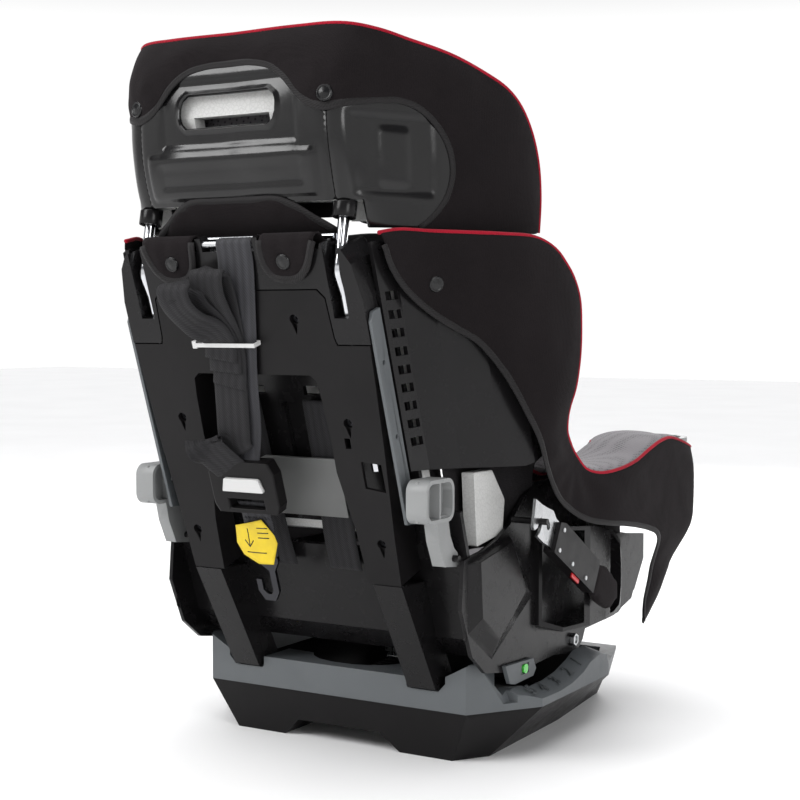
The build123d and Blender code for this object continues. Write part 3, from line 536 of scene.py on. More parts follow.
M = {}
M["black_plastic"] = plastic("black_plastic", (0.0062, 0.0056, 0.006), 0.38, 0.35, 1100, coat=0.0, spread=0.22, spec=0.15)
M["glossy"] = plastic("glossy_black_plastic", (0.006, 0.0057, 0.006), 0.17, 0.10, 420, coat=0.06, spread=0.2, scuff=0.06, spec=0.34)
M["shell"] = plastic("satin_black_shell", (0.008, 0.0075, 0.008), 0.24, 0.16, 700, coat=0.03, spread=0.2, scuff=0.08, spec=0.17)
M["gray"] = plastic("gray_plastic", (0.085, 0.093, 0.099), 0.46, 0.35, 1000, spread=0.08)
M["plate"] = plastic("gray_plate", (0.100, 0.102, 0.100), 0.40, 0.3, 1000, spread=0.1)
M["light_gray"] = plastic("light_gray_plastic", (0.235, 0.24, 0.24), 0.44, 0.25, 900, spread=0.06)
M["white"] = plastic("white_plastic", (0.58, 0.58, 0.575), 0.40, 0.2, 900, spread=0.04)
M["bush"] = plastic("bush_plastic", (0.05, 0.05, 0.052), 0.5, 0.25, 900)
M["red"] = plastic("red_plastic", (0.52, 0.012, 0.018), 0.34, 0.18, 900, coat=0.2, spread=0.1)
M["green"] = plastic("green_indicator", (0.06, 0.52, 0.05), 0.16, 0.05, 500, coat=0.6, spread=0.25)
M["chrome"] = metal("chrome_rod", (0.62, 0.63, 0.65), 0.09, (60, 60, 300), 0.05)
M["steel"] = metal("zinc_steel", (0.56, 0.57, 0.58), 0.26, (900, 60, 60), 0.2)
M["dark_steel"] = metal("black_steel", (0.05, 0.05, 0.055), 0.35, (300, 300, 300), 0.2)
M["foam"] = eps_foam("white_foam", (0.56, 0.56, 0.55))
M["knit"] = knit("black_knit", (0.0085, 0.0066, 0.0072), (0.0035, 0.0026, 0.003))
M["knit_in"] = knit("black_seat_knit", (0.013, 0.012, 0.013), (0.005, 0.0045, 0.005), cell=0.0016)
M["mesh"] = air_mesh("gray_air_mesh", (0.175, 0.165, 0.175), (0.05, 0.05, 0.055))
M["web"] = webbing("black_webbing", (0.030, 0.030, 0.034))
M["web_dark"] = webbing("dark_webbing", (0.012, 0.0115, 0.013), 0.7, 0.1)
M["bind"] = webbing("binding_tape", (0.0065, 0.0055, 0.006), 0.62, 0.2, 9)
M["pipe"] = knit("crimson_piping", (0.33, 0.008, 0.022), (0.12, 0.002, 0.008), cell=0.0009, sheen=0.1, depth=0.6)
M["crimson"] = knit("crimson_cloth", (0.30, 0.008, 0.020), (0.13, 0.003, 0.008), cell=0.0013, sheen=0.1)
M["snap"] = plastic("snap_plastic", (0.004, 0.004, 0.0045), 0.24, 0.05, 500, coat=0.05, spec=0.35)
M["ink"] = plastic("number_ink", (0.045, 0.05, 0.053), 0.5, 0.2, 900)


def tag_mat():
    m, nt, b, tc = new_mat("yellow_tag")
    vec = tc.outputs["Object"]
    ml = noise(nt, vec, 60, 3)
    c = ramp(nt, ml, [(0.3, (0.60, 0.43, 0.008)), (0.7, (0.72, 0.53, 0.012))])
    nt.links.new(c, b.inputs["Base Color"])
    nt.links.new(maprange(nt, ml, 0.3, 0.7, 0.45, 0.6), b.inputs["Roughness"])
    bump(nt, b, noise(nt, vec, 700, 2), 0.3, 0.0003)
    return m


M["tag"] = tag_mat()

CAD_MAT = {
    "base_tub": "black_plastic", "base_trim": "gray", "recline_rack": "black_plastic",
    "seat_shell": "shell", "guide_axle": "steel", "rear_cover": "black_plastic", "rear_cover_screws": "dark_steel",
    "shoulder_housing": "shell", "tether_anchor_bar": "steel", "rod_bushes": "bush", "side_strips": "gray",
    "side_panels": "shell", "back_foam": "foam", "seat_foam": "foam", "level_housing": "gray", "level_bubble": "green",
    "guide_plate": "plate", "buckle_body": "black_plastic", "buckle_button": "red", "buckle_tongues": "steel",
    "chest_clip": "black_plastic", "chest_clip_button": "gray", "harness_adjuster": "steel",
    "harness_release_lever": "gray", "tether_adjuster": "black_plastic", "tether_release_button": "white",
    "tether_hook": "dark_steel", "zip_tie": "white", "headrest_shell": "glossy", "headrest_foam": "foam",
    "headrest_rods": "chrome", "headrest_crossbar": "chrome", "rod_collars": "shell",
    "headrest_release_lever": "light_gray", "recline_handle": "gray", "recline_link": "steel",
    "recline_lock_pin": "steel", "left_cup_holder": "light_gray", "right_cup_holder": "light_gray",
    "left_lockoff_lever": "light_gray", "right_lockoff_lever": "light_gray",
}
for side in ("left", "right"):
    CAD_MAT[side + "_latch_hook"] = "steel"
    CAD_MAT[side + "_latch_body"] = "black_plastic"
    CAD_MAT[side + "_latch_button"] = "red"
BEVEL = {"base_tub": 2.2, "base_trim": 1.6, "rear_cover": 1.0, "shoulder_housing": 1.6, "seat_shell": 1.0, "side_panels": 0.8,
         "side_strips": 0.7, "guide_plate": 0.5, "tether_adjuster": 1.6, "tether_release_button": 1.0,
         "left_cup_holder": 1.2, "right_cup_holder": 1.2, "left_lockoff_lever": 0.9, "right_lockoff_lever": 0.9,
         "left_latch_body": 0.7, "right_latch_body": 0.7, "left_latch_hook": 0.35, "right_latch_hook": 0.35,
         "zip_tie": 0.5, "level_housing": 0.5, "recline_handle": 1.8, "buckle_body": 2.0, "buckle_button": 1.0,
         "chest_clip": 1.6, "chest_clip_button": 0.8, "rod_collars": 0.8, "recline_rack": 0.5, "back_foam": 1.5}
for n, ob in NODE.items():
    key = CAD_MAT.get(n)
    if key is None:
        continue
    if not ob.material_slots:
        ob.data.materials.append(M[key])
    for sl in ob.material_slots:
        sl.material = M[key]
    w = ob.modifiers.new("weld", "WELD")
    w.merge_threshold = 0.00002
    if n in BEVEL:
        b = ob.modifiers.new("bevel", "BEVEL")
        b.width = BEVEL[n] * MM
        b.segments = 2
        b.limit_method = "ANGLE"
        b.angle_limit = math.radians(32)
        b.use_clamp_overlap = True
        b.harden_normals = False

SIDES = ((1, "left"), (-1, "right"))


def ride(ob, body, *nodes, slot=None):
    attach(ob, body)
    if nodes:
        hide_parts(*nodes)
    return ob


def snap(name, p, axis, body, r=6.6):
    ob = lathe(name, [(0.2, -1.5), (r, -1.5), (r + 0.3, 0.0), (r - 0.4, 1.5), (r - 1.3, 2.0), (r - 2.0, 1.2), (r - 2.6, 1.3), (1.2, 2.3), (0.1, 2.35)], p, axis, M["snap"])
    return ride(ob, body, slot="black_plastic")


# ------------------------------------------------------------ HEADREST surface
CUM = [0, 72, 114, 154.4, 198.2, 252.8, 300, 334.5]
LEV = {
    500: [(0, 304), (72, 304), (112, 296), (130, 275), (150, 240), (172, 192), (188, 150), (196, 116)],
    600: [(0, 329), (72, 329), (113, 320), (133, 285), (153, 246), (175, 196), (192, 152), (198, 118)],
    674: [(0, 314), (70, 314), (106, 306), (127, 284), (146, 250), (168, 204), (186, 158), (192, 126)],
}


def cubic(xs, ys):
    """Monotone-ish cubic through points."""
    xs, ys = np.array(xs, float), np.array(ys, float)
    h = np.diff(xs)
    d = np.diff(ys) / h
    m = np.zeros(len(xs))
    m[1:-1] = (d[:-1] * h[1:] + d[1:] * h[:-1]) / (h[1:] + h[:-1])
    m[0], m[-1] = d[0], d[-1]

    def f(x):
        x = np.asarray(x, float)
        i = np.clip(np.searchsorted(xs, x) - 1, 0, len(h) - 1)
        t = (x - xs[i]) / h[i]
        return ((1 + 2 * t) * (1 - t) ** 2 * ys[i] + t * (1 - t) ** 2 * h[i] * m[i] + t * t * (3 - 2 * t) * ys[i + 1] + t * t * (t - 1) * h[i] * m[i + 1])
    return f


LX = {z: cubic([-72] + CUM, [-LEV[z][1][0]] + [p[0] for p in LEV[z]]) for z in LEV}
LY = {z: cubic([-72] + CUM, [LEV[z][1][1]] + [p[1] for p in LEV[z]]) for z in LEV}


def head_base(u, z):
    a = np.abs(u)
    s = np.where(u < 0, -1.0, 1.0)
    w5 = (z - 600) * (z - 674) / ((500 - 600) * (500 - 674))
    w6 = (z - 500) * (z - 674) / ((600 - 500) * (600 - 674))
    w7 = (z - 500) * (z - 600) / ((674 - 500) * (674 - 600))
    x = w5 * LX[500](a) + w6 * LX[600](a) + w7 * LX[674](a)
    y = w5 * LY[500](a) + w6 * LY[600](a) + w7 * LY[674](a)
    return np.stack([s * x, y, z], -1)


def head(u, z, off):
    """Point on the headrest's back surface, off outward."""
    e = 2.0
    P = head_base(u, z)
    du = head_base(u + e, z) - head_base(u - e, z)
    dz = head_base(u, z + e) - head_base(u, z - e)
    n = np.cross(dz, du)
    n /= np.linalg.norm(n, axis=-1, keepdims=True)
    n = np.where((n[..., 1:2] * 0 + np.sum(n * (P - np.array([0, 120.0, 580.0])), -1, keepdims=True)) < 0, -n, n)
    return P + n * np.asarray(off)[..., None]


TOPR = [(0, 670), (72, 670.5), (100, 671), (130, 670), (157.8, 667), (184.7, 661.5), (216.8, 655.5), (238.6, 650), (265.7, 640), (290, 628), (307, 613), (321, 591), (329.5, 566), (333.5, 536), (334.5, 501)]
ridge_half = spline(TOPR, 6)
ridge_half = [tuple(p) for p in ridge_half]
ridge = [(-u, z) for u, z in ridge_half[::-1]] + ridge_half[1:]
ARCH = [(0, 644.5), (25, 644), (47, 639), (63, 628), (75, 615), (86, 605), (99, 600.5), (115, 603.5), (154, 609), (176, 609), (193, 603), (209, 590), (221, 571), (224.5, 549), (218, 527), (203, 509), (190, 499.5)]
arch_half = [tuple(p) for p in spline(ARCH, 5)]
CUP = cubic([p[0] for p in TOPR[:3]] + [130, 200, 334.5], [670, 670.5, 671, 670, 659, 500])

outer_out = ridge + [(u, 499.5) for u in np.linspace(327, 196, 22)] + arch_half[::-1] + [(-u, z) for u, z in arch_half[1:]] + [(-u, 499.5) for u in np.linspace(196, 327, 22)]


def wob(W, amp, scale, seed=0.0):
    return np.array([mnoise.noise(Vector((p[0] * scale + seed, p[1] * scale, p[2] * scale))) for p in W]) * amp


def head_outer(V):
    u, z = V[:, 0], V[:, 1]
    d1 = dist_to(V, ridge)
    d2 = dist_to(V, arch_half)
    d3 = dist_to(V * np.array([-1, 1]), arch_half)
    d = np.minimum(np.minimum(d1, d2), d3)
    puff = 4.5 * (1 - np.exp(-d / 16.0))
    off = 2.6 + puff
    P = head(u, z, off)
    off = off + wob(P, 1.8, 0.016, 3.0) * np.clip(d / 14, 0, 1) + wob(P, 0.9, 0.04, 9.0) * np.clip(d / 8, 0, 1)
    # gathers radiating from the snaps
    for sx in (-1, 1):
        du, dz = u - sx * 101, z - 611
        r = np.hypot(du, dz)
        off = off - 2.2 * np.exp(-(r / 11) ** 2) + 0.5 * np.sin(np.arctan2(dz, du) * 7) * np.exp(-((r - 20) / 12) ** 2)
    return head(u, z, off)


parts = [panel("headrest_skin", outer_out, head_outer, 5.0, M["knit"], thick=1.4)]
headc = parts[0]
headc.name = "headrest_cover_skin"
ride(headc, "headrest", "headrest_cover", slot="black_fabric")
m = headc.modifiers.new("sub", "SUBSURF")
m.levels = m.render_levels = 1


# the inner, padded side of the cover: rolls over from the ridge to the child's side
def head_inner(V):
    u, z = V[:, 0], V[:, 1]
    d1 = dist_to(V, ridge)
    R = 17.0
    g = np.where(d1 < R, np.sqrt(np.clip(1 - (1 - d1 / R) ** 2, 0, 1)), 1.0)
    db = np.clip((z - 500.0) / 9.0, 0, 1)
    gb = np.sqrt(np.clip(1 - (1 - db) ** 2, 0, 1))
    deep = -38.0 - 4.0 * np.exp(-((np.abs(u) - 205) / 60.0) ** 2)
    off = 2.6 + (deep - 2.6) * g
    off = np.where(db < 1, -21.5 + (off + 21.5) * gb, off)
    P = head(u, z, off)
    seam = np.minimum(np.abs(np.abs(u) - 112), 40)
    off = off + 2.4 * np.exp(-(seam / 2.2) ** 2) * g
    for k in (545, 585, 625):
        off = off + 1.7 * np.exp(-((z - k) / 2.4) ** 2) * g * (np.abs(u) < 110)
    off = off + wob(P, 1.4, 0.018, 5.0) * g
    P = head(u, z, off)
    # round the top of the roll
    lift = 3.0 * np.sin(np.clip(d1 / 30, 0, 1) * math.pi) * (d1 < 30)
    P[:, 2] += lift * (z > 560)
    return P


inner_out = ridge + [(u, 500.0) for u in np.linspace(328, -328, 110)]
headi = panel("headrest_inner_pad", inner_out, head_inner, 5.5, M["knit_in"], thick=1.2, offset=1.0)
# gray mesh over the middle and along the roll
headi.data.materials.append(M["mesh"])
uvl = headi.data.uv_layers["flat"].data
for p in headi.data.polygons:
    c = sum((uvl[k].uv for k in p.loop_indices), Vector((0, 0))) / len(p.loop_indices) / MM
    if abs(c.x) < 112 and c.y > 560:
        p.material_index = 1
ride(headi, "headrest", slot="black_fabric")
m = headi.modifiers.new("sub", "SUBSURF")
m.levels = m.render_levels = 1


def line3(fn, uv, **kw):
    V = np.array([tuple(p) for p in uv], float)
    return [tuple(p) for p in fn(V, **kw)]


R3 = head(np.array([p[0] for p in ridge]), np.array([p[1] for p in ridge]), np.full(len(ridge), 3.0))
pipe = sweep("headrest_piping", [tuple(p) for p in R3], circle(1.9, 8), M["pipe"])
ride(pipe, "headrest", slot="black_fabric")
full_arch = [(-u, z) for u, z in arch_half[::-1]] + arch_half[1:]
Ua, Za = np.array([p[0] for p in full_arch]), np.array([p[1] for p in full_arch])
A3 = head(Ua, Za, np.full(len(Ua), 2.6))
A4 = head(Ua, Za, np.full(len(Ua), 12.6))
bind = sweep("headrest_binding", [tuple(p) for p in A3], [(4.2 * math.cos(a), 1.7 * math.sin(a)) for a in np.linspace(0, 2 * math.pi, 13)[:-1]], M["bind"], up=[tuple(q - p) for p, q in zip(A3, A4)])
ride(bind, "headrest", slot="black_fabric")
for sx in (-1, 1):
    p = head(np.array([sx * 101.0]), np.array([611.0]), np.array([4.4]))[0]
    q = head(np.array([sx * 101.0]), np.array([611.0]), np.array([14.0]))[0]
    snap("headrest_snap_%s" % ("left" if sx > 0 else "right"), tuple(p), tuple(q - p), "headrest", 7.4)

# glossy blow-moulded shell of the headrest
SLOT = [(-50, 598), (-49, 594), (-44, 590), (44, 590), (49, 594), (51, 600), (51, 608), (49, 614), (44, 618), (-44, 618), (-49, 614), (-51, 608), (-51, 600)]


def smoothstep(a, b, x):
    t = np.clip((x - a) / (b - a), 0, 1)
    return t * t * (3 - 2 * t)


def box_mask(u, z, u0, u1, z0, z1, e):
    return smoothstep(u0 - e, u0 + e, u) * (1 - smoothstep(u1 - e, u1 + e, u)) * smoothstep(z0 - e, z0 + e, z) * (1 - smoothstep(z1 - e, z1 + e, z))


def head_shell(V):
    u, z = V[:, 0], V[:, 1]
    off = np.full(len(u), -1.2)
    off += 2.6 * box_mask(u, z, -88, 88, 530, 566, 2.6)            # raised lower panel
    off -= 1.6 * box_mask(u, z, -76, 76, 538, 558, 2.2)
    off -= 2.4 * box_mask(u, z, -74, 74, 573, 632, 3.0)            # dish around the grip slot
    d = dist_to(V, SLOT, True)
    off += 2.4 * np.exp(-(d / 2.6) ** 2)                           # lip of the slot
    for sx in (-1, 1):
        off -= 2.0 * box_mask(u * sx, z, 118, 205, 528, 596, 5.0)  # shallow side pans
        off += 1.5 * box_mask(u * sx, z, 150, 178, 536, 584, 4.0)
        off -= 1.4 * np.exp(-((np.abs(u) - 100) / 2.6) ** 2)       # corner groove
    off += wob(np.stack([u, z, z * 0], -1), 0.6, 0.03, 2.0)
    return head(u, z, off)


sh_edge = [(128, 523), (128, 507), (246, 507), (246, 648), (200, 654), (0, 656)]
sh_out = [(-128, 523)] + [(-u, z) for u, z in sh_edge[1:-1]][0:0]
shell_outline = [(-128, 523), (128, 523), (130, 500), (246, 500), (246, 640), (200, 652), (120, 655), (0, 656), (-120, 655), (-200, 652), (-246, 640), (-246, 500), (-130, 500)]
shell = panel("headrest_back_shell", shell_outline, head_shell, 3.0, M["glossy"], thick=3.6, holes=[SLOT])
ride(shell, "headrest", "headrest_shell", slot="glossy_black_plastic")
m = shell.modifiers.new("bev", "BEVEL")
m.width = 0.9 * MM
m.segments = 2
m.limit_method = "ANGLE"
m.angle_limit = math.radians(50)


# fabric tail below the shell, snapped up on two studs
def head_tail(V):
    x, z = V[:, 0], V[:, 1]
    P = head(x, z, np.full(len(x), 3.4))
    edge = dist_to(V, TAIL_TOP)
    off = 3.4 + 1.6 * (1 - np.exp(-edge / 5.0)) + wob(P, 0.8, 0.03, 1.0)
    for sx in (-1, 1):
        off -= 1.2 * np.exp(-(np.hypot(x - sx * 53, z - 514) / 8) ** 2)
    P = head(x, z, off)
    P[:, 1] -= np.clip(507 - z, 0, 20) * 0.35
    return P


TAIL_TOP = [tuple(p) for p in spline([(-97, 498), (-88, 504), (-78, 510), (-64, 519), (-46, 526), (-20, 526.5), (20, 526.5), (46, 526), (64, 519), (78, 510), (88, 504), (97, 498)], 5)]
tail = panel("headrest_tail", TAIL_TOP + [(92, 495), (0, 494), (-92, 495)], head_tail, 4.5, M["knit"], thick=1.4)
ride(tail, "headrest", slot="black_fabric")
T3 = head(np.array([p[0] for p in TAIL_TOP]), np.array([p[1] for p in TAIL_TOP]), np.full(len(TAIL_TOP), 3.8))
tb = sweep("headrest_tail_binding", [tuple(p) for p in T3], [(3.4 * math.cos(a), 1.5 * math.sin(a)) for a in np.linspace(0, 2 * math.pi, 11)[:-1]], M["bind"], up=(0, 1, -0.2))
ride(tb, "headrest", slot="black_fabric")
for sx in (-1, 1):
    snap("headrest_tail_snap_%s" % ("left" if sx > 0 else "right"), (sx * 53, 314.2, 513), (0, 1, -0.22), "headrest", 6.2)


# ------------------------------------------------------------ SEAT SIDE COVERS
XW = cubic([-270, -262, -250, -236, -205, -170, -140, -116, -100, -78, -48, -22, 6], [229, 231.5, 234, 234, 229.5, 222, 213, 200, 186, 166, 149, 142.5, 140])
XA = cubic([-300, -243, -222, -200, -178, -140, -80, 0, 30, 60, 84, 110, 150, 200, 320], [186, 203, 222, 231, 233, 232.5, 230.5, 223, 215, 208, 206, 206, 206, 204, 200])
YF = cubic([90, 149, 166, 182, 202, 224, 250, 268, 300], [232, 232, 233, 236, 234, 231, 241, 243, 243])
PLAN_U = [200, 222, 245, 262, 280, 312]
PLAN_X = [229, 218, 201, 186, 170, 138]
PLAN_Y = [-200, -217, -233, -238, -238, -236]


def cover_base(V, s, lift=0.0):
    """Flat coordinates (u = -y forward, z) of the side cover to space; u beyond 200 turns the front corner."""
    u, z = V[:, 0], V[:, 1]
    y = -u
    n = CS * (y - 244) - SN * (z - 224)
    sl = SN * (y - 244) + CS * (z - 224)
    w = smoothstep(282, 372, z + 0.25 * np.clip(y - 60, 0, 200))
    xw = XW(np.clip(n, -270, 6))
    xa = XA(np.clip(y, -300, 320))
    x = xa * (1 - w) + xw * w
    x = x - 7 * smoothstep(175, 100, z)                 # tucks in towards the bottom
    x = x - 5 * smoothstep(478, 500, z) * w             # and towards the top edge
    # front corner
    cu = np.clip(u, 200, 312)
    px = np.interp(cu, PLAN_U, PLAN_X) - 9 * smoothstep(215, 165, z)
    py = np.interp(cu, PLAN_U, PLAN_Y)
    yf = -YF(np.clip(z, 90, 300))
    py = py + (yf + 243) * smoothstep(196, 240, cu)
    low = smoothstep(208, 150, z)
    x = np.where(u > 200, px - 7 * smoothstep(175, 100, z), x) - 17 * low * smoothstep(92, 128, u)
    y = y + 14 * low * smoothstep(150, 200, u)
    y = np.where(u > 200, py + 14 * low, y)
    P = np.stack([x, y, z], -1)
    return P


def cover_normal(V, s):
    e = 3.0
    a = cover_base(V + np.array([e, 0]), s) - cover_base(V - np.array([e, 0]), s)
    b = cover_base(V + np.array([0, e]), s) - cover_base(V - np.array([0, e]), s)
    n = np.cross(b, a)
    n /= np.maximum(1e-9, np.linalg.norm(n, axis=-1, keepdims=True))
    out = np.sum(n * (cover_base(V, s) - np.array([0, 20.0, 250.0])), -1, keepdims=True)
    return np.where(out < 0, -n, n)


# (y, z) outlines
WTOP = [(303, 494), (280, 497.5), (251, 497), (200, 496), (160, 494.5), (140, 488), (121, 474), (106, 460), (94, 440), (89, 412), (88, 385), (91, 358), (93, 335), (84, 316), (68, 302), (50, 286), (38, 275), (18, 269.5), (-6, 270), (-50, 276.5), (-85, 287), (-110, 293), (-135, 295), (-168, 289), (-200, 281), (-222, 276.5), (-245, 273), (-262, 272), (-285, 272), (-312, 270)]
WFRONT = [(-312, 250), (-312, 200), (-300, 190), (-272, 188), (-248, 184), (-226, 174), (-208, 160), (-189, 147), (-166, 130), (-148, 115), (-131, 103), (-120, 99)]
WBIND = [(-114, 100), (-122, 116), (-129, 135), (-131, 150), (-128, 168), (-118, 187), (-103, 199), (-85, 205), (-58, 211), (-28, 216), (3, 220), (33, 226), (60, 238), (84, 253), (108, 280), (127, 307), (146, 331), (165, 358), (185, 384), (203, 403), (222, 415), (243, 428), (262, 441), (280, 456), (292, 470), (299, 484)]


def to_u(pts):
    return [(-y, z) for y, z in pts]


def side_cover(s, side):
    top = [tuple(p) for p in spline(to_u(WTOP), 6)]
    frt = [tuple(p) for p in spline(to_u(WFRONT), 6)]
    bnd = [tuple(p) for p in spline(to_u(WBIND), 6)]
    outline = top + frt + bnd
    notch = np.array([(-88, 330), (-60, 292), (-20, 272)])

    def f(V):
        d1 = dist_to(V, top)
        d2 = dist_to(V, bnd)
        d3 = dist_to(V, frt)
        d = np.minimum(np.minimum(d1, d2), d3)
        off = 3.5 * (1 - np.exp(-d / 14.0))
        P = cover_base(V, s)
        off += (wob(P, 2.2, 0.012, 4.0 + s) + wob(P, 1.1, 0.034, 7.0)) * np.clip(d / 18, 0, 1)
        # soft drag lines from the notch at the arm towards the belt opening
        dx = V[:, 0] + 60
        dz = V[:, 1] - 285
        r = np.hypot(dx, dz)
        a = np.arctan2(dz, dx)
        off += 0.9 * np.sin(a * 9 + 0.6) * np.exp(-((r - 45) / 32) ** 2) * np.clip(d / 10, 0, 1)
        for (cy, cz) in ((231, 408),):
            rr = np.hypot(V[:, 0] + cy, V[:, 1] - cz)
            off -= 1.4 * np.exp(-(rr / 10) ** 2)
        P = P + cover_normal(V, s) * off[:, None]
        P[:, 0] *= s
        return P
    ob = panel(side + "_side_cover", outline, f, 6.0, M["knit"], thick=1.5)
    if s < 0:
        ob.data.flip_normals()
    ride(ob, "seat", slot="black_fabric")
    m = ob.modifiers.new("sub", "SUBSURF")
    m.levels = m.render_levels = 1

    def edge3(line, off):
        V = np.array(line)
        P = cover_base(V, s) + cover_normal(V, s) * off
        P[:, 0] *= s
        Q = cover_base(V, s) + cover_normal(V, s) * (off + 10)
        Q[:, 0] *= s
        return [tuple(p) for p in P], [tuple(q - p) for p, q in zip(P, Q)]
    P, U = edge3(top, 0.2)
    pp = sweep(side + "_side_piping", P, circle(1.9, 8), M["pipe"])
    ride(pp, "seat", slot="black_fabric")
    P, U = edge3(bnd, 0.3)
    sec = [(4.0 * math.cos(a), 1.6 * math.sin(a)) for a in np.linspace(0, 2 * math.pi, 11)[:-1]]
    bb = sweep(side + "_side_binding", P, sec, M["bind"], up=U)
    ride(bb, "seat", slot="black_fabric")
    P, U = edge3(frt, 0.3)
    bb = sweep(side + "_front_binding", P, sec, M["bind"], up=U)
    ride(bb, "seat", slot="black_fabric")
    V = np.array([(-245.0, 452.0)])
    q = cover_base(V, s)[0] + cover_normal(V, s)[0] * 3.4
    nn = cover_normal(V, s)[0]
    snap(side + "_cover_snap", (s * q[0], q[1], q[2]), (s * nn[0], nn[1], nn[2]), "seat", 7.2)
    return top


XI = cubic([-270, -262, -250, -206, -150, -92, -62, -30, 0], [226, 214, 197, 177, 159, 144, 141.5, 141, 141])


def wing_inner(s, side, top):
    """The child's side of the wing: rolls in from the ridge to the padded inner face."""
    yz_top = [(-u, z) for u, z in top]
    # rear limit along the back pad, then the arm level
    ridge_part = [(y, z) for y, z in yz_top if z >= 300 or y > 60]
    low = [(66, 292), (66, 204), (110, 204), (150, 204), (168, 204)]
    rear = [back(sv, -63) for sv in np.linspace(-38, 262, 50)]
    outline = [(-y, z) for y, z in ridge_part if y < 262] [0:0]
    r2 = [(y, z) for y, z in ridge_part if y <= 268]
    loop = r2 + low + rear
    loop_u = [(-y, z) for y, z in loop]
    rid_u = [(-y, z) for y, z in r2]

    def f(V):
        P = cover_base(V, s)
        y, z = P[:, 1], P[:, 2]
        n = CS * (y - 244) - SN * (z - 224)
        xi = XI(np.clip(n, -270, 0))
        d = dist_to(V, rid_u)
        R = 24.0
        g = np.where(d < R, np.sqrt(np.clip(1 - (1 - d / R) ** 2, 0, 1)), 1.0)
        xo = P[:, 0]
        x = xo + (xi - xo) * g
        x += wob(P, 1.6, 0.016, 6.0) * g
        for k in (330, 375, 420, 462):
            x += 2.0 * np.exp(-((z - k + 0.25 * (y - 150)) / 2.6) ** 2) * g
        P[:, 0] = x
        lift = 3.0 * np.sin(np.clip(d / 40, 0, 1) * math.pi)
        P[:, 2] += lift * (z > 440)
        P[:, 0] *= s
        return P
    ob = panel(side + "_wing_pad", loop_u, f, 6.0, M["knit_in"], thick=1.4, offset=1.0)
    if s > 0:
        ob.data.flip_normals()
    ride(ob, "seat", slot="black_fabric")
    m = ob.modifiers.new("sub", "SUBSURF")
    m.levels = m.render_levels = 1
    return ob


ZT = cubic([-300, -222, -200, -168, -135, -110, -85, -50, -6, 18, 38, 60], [272, 276.5, 281, 289, 295, 293, 287, 276.5, 270, 269.5, 275, 282])


def arm_top(s, side):
    """Padded arm top in gray mesh, its inner side black, with the cup holder's ring let in at the front."""
    # t runs from the outer ridge over the top and down the inner side
    T = [0, 6, 18, 40, 62, 76, 88, 112, 190]
    DXs = [0.0, 0.03, 0.14, 0.42, 0.72, 0.88, 0.97, 1.0, 1.0]
    DZs = [0.0, 3.2, 6.0, 7.2, 4.5, -2.0, -14, -38, -112]
    fx, fz = cubic(T, DXs), cubic(T, DZs)
    cup = np.array([187.0, -178.0])

    def f(V):
        y, t = -V[:, 0], V[:, 1]
        zt = ZT(y)
        xo = XA(np.clip(y, -300, 320)) - 0.5
        xin = 147.0 - 9.5 * smoothstep(-100, -126, y) - 3.0 * smoothstep(80, 180, t)
        x = xo + (xin - xo) * fx(t)
        z = zt + fz(t)
        z = z - 8.5 * np.exp(-((y + 178) / 46) ** 2) * smoothstep(2, 20, t)
        z = np.where(t > 112, np.maximum(z, 180 - 14 * smoothstep(-100, -126, y)), z)
        P = np.stack([x, y, z], -1)
        wz = wob(P, 1.4, 0.02, 8.0) * np.clip(t / 15, 0, 1)
        P[:, 2] += wz
        P[:, 0] *= s
        return P
    # outline in (u=-y, t); the forward end follows the ring of the cup holder
    ring = []
    for a in np.linspace(0, 360, 49)[:-1]:
        x = cup[0] + 48.0 * math.cos(math.radians(a))
        y = cup[1] + 48.0 * math.sin(math.radians(a))
        xo = float(XA(y)) - 0.5
        fr = min(0.955, max(0.012, (xo - x) / (xo - 137.5)))
        tt = float(np.interp(fr, DXs[:7], T[:7]))
        ring.append((-y, tt))
    outl = [(-62, 0), (60, 0), (200, 0), (237, 0), (237, 100), (237, 186), (129, 186), (60, 186), (0, 186), (-62, 186)]
    ob = panel(side + "_arm_pad", outl, f, 5.5, M["mesh"], thick=1.4, offset=1.0, holes=[ring])
    ob.data.materials.append(M["knit_in"])
    uvl = ob.data.uv_layers["flat"].data
    for p in ob.data.polygons:
        c = sum((uvl[k].uv for k in p.loop_indices), Vector((0, 0))) / len(p.loop_indices) / MM
        if c.y > 78:
            p.material_index = 1
    bm = bmesh.new()
    bm.from_mesh(ob.data)
    bmesh.ops.recalc_face_normals(bm, faces=bm.faces)
    bm.to_mesh(ob.data)
    bm.free()
    ride(ob, "seat", slot="black_fabric")
    m = ob.modifiers.new("sub", "SUBSURF")
    m.levels = m.render_levels = 1
    V = np.array([(u, 0.5) for u in ()] or ring + ring[:1])
    rp = sweep(side + "_cup_ring_binding", [tuple(p) for p in f(V)][:-1], circle(1.7, 8), M["bind"], closed=True)
    ride(rp, "seat", slot="black_fabric")
    bf = panel(side + "_arm_lining", [(166, 203), (224, 203), (227, 230), (222, 284), (170, 284)], lambda Q: np.stack([s * Q[:, 0], -125.5 + 2.5 * np.cos((Q[:, 0] - 196) * 0.05) + wob(np.stack([Q[:, 0], Q[:, 0] * 0, Q[:, 1]], -1), 1.2, 0.04), Q[:, 1]], -1), 6, M["knit"], thick=1.4)
    ride(bf, "seat", slot="black_fabric")
    V = np.array([(u, 78.0) for u in np.linspace(-60, 126, 36)])
    pp = sweep(side + "_arm_piping", [tuple(p) for p in f(V)], circle(1.8, 8), M["pipe"])
    ride(pp, "seat", slot="black_fabric")


for s, side in SIDES:
    top = side_cover(s, side)
    w = wing_inner(s, side, top)
    arm_top(s, side)
    if s > 0:
        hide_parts("seat_cover")


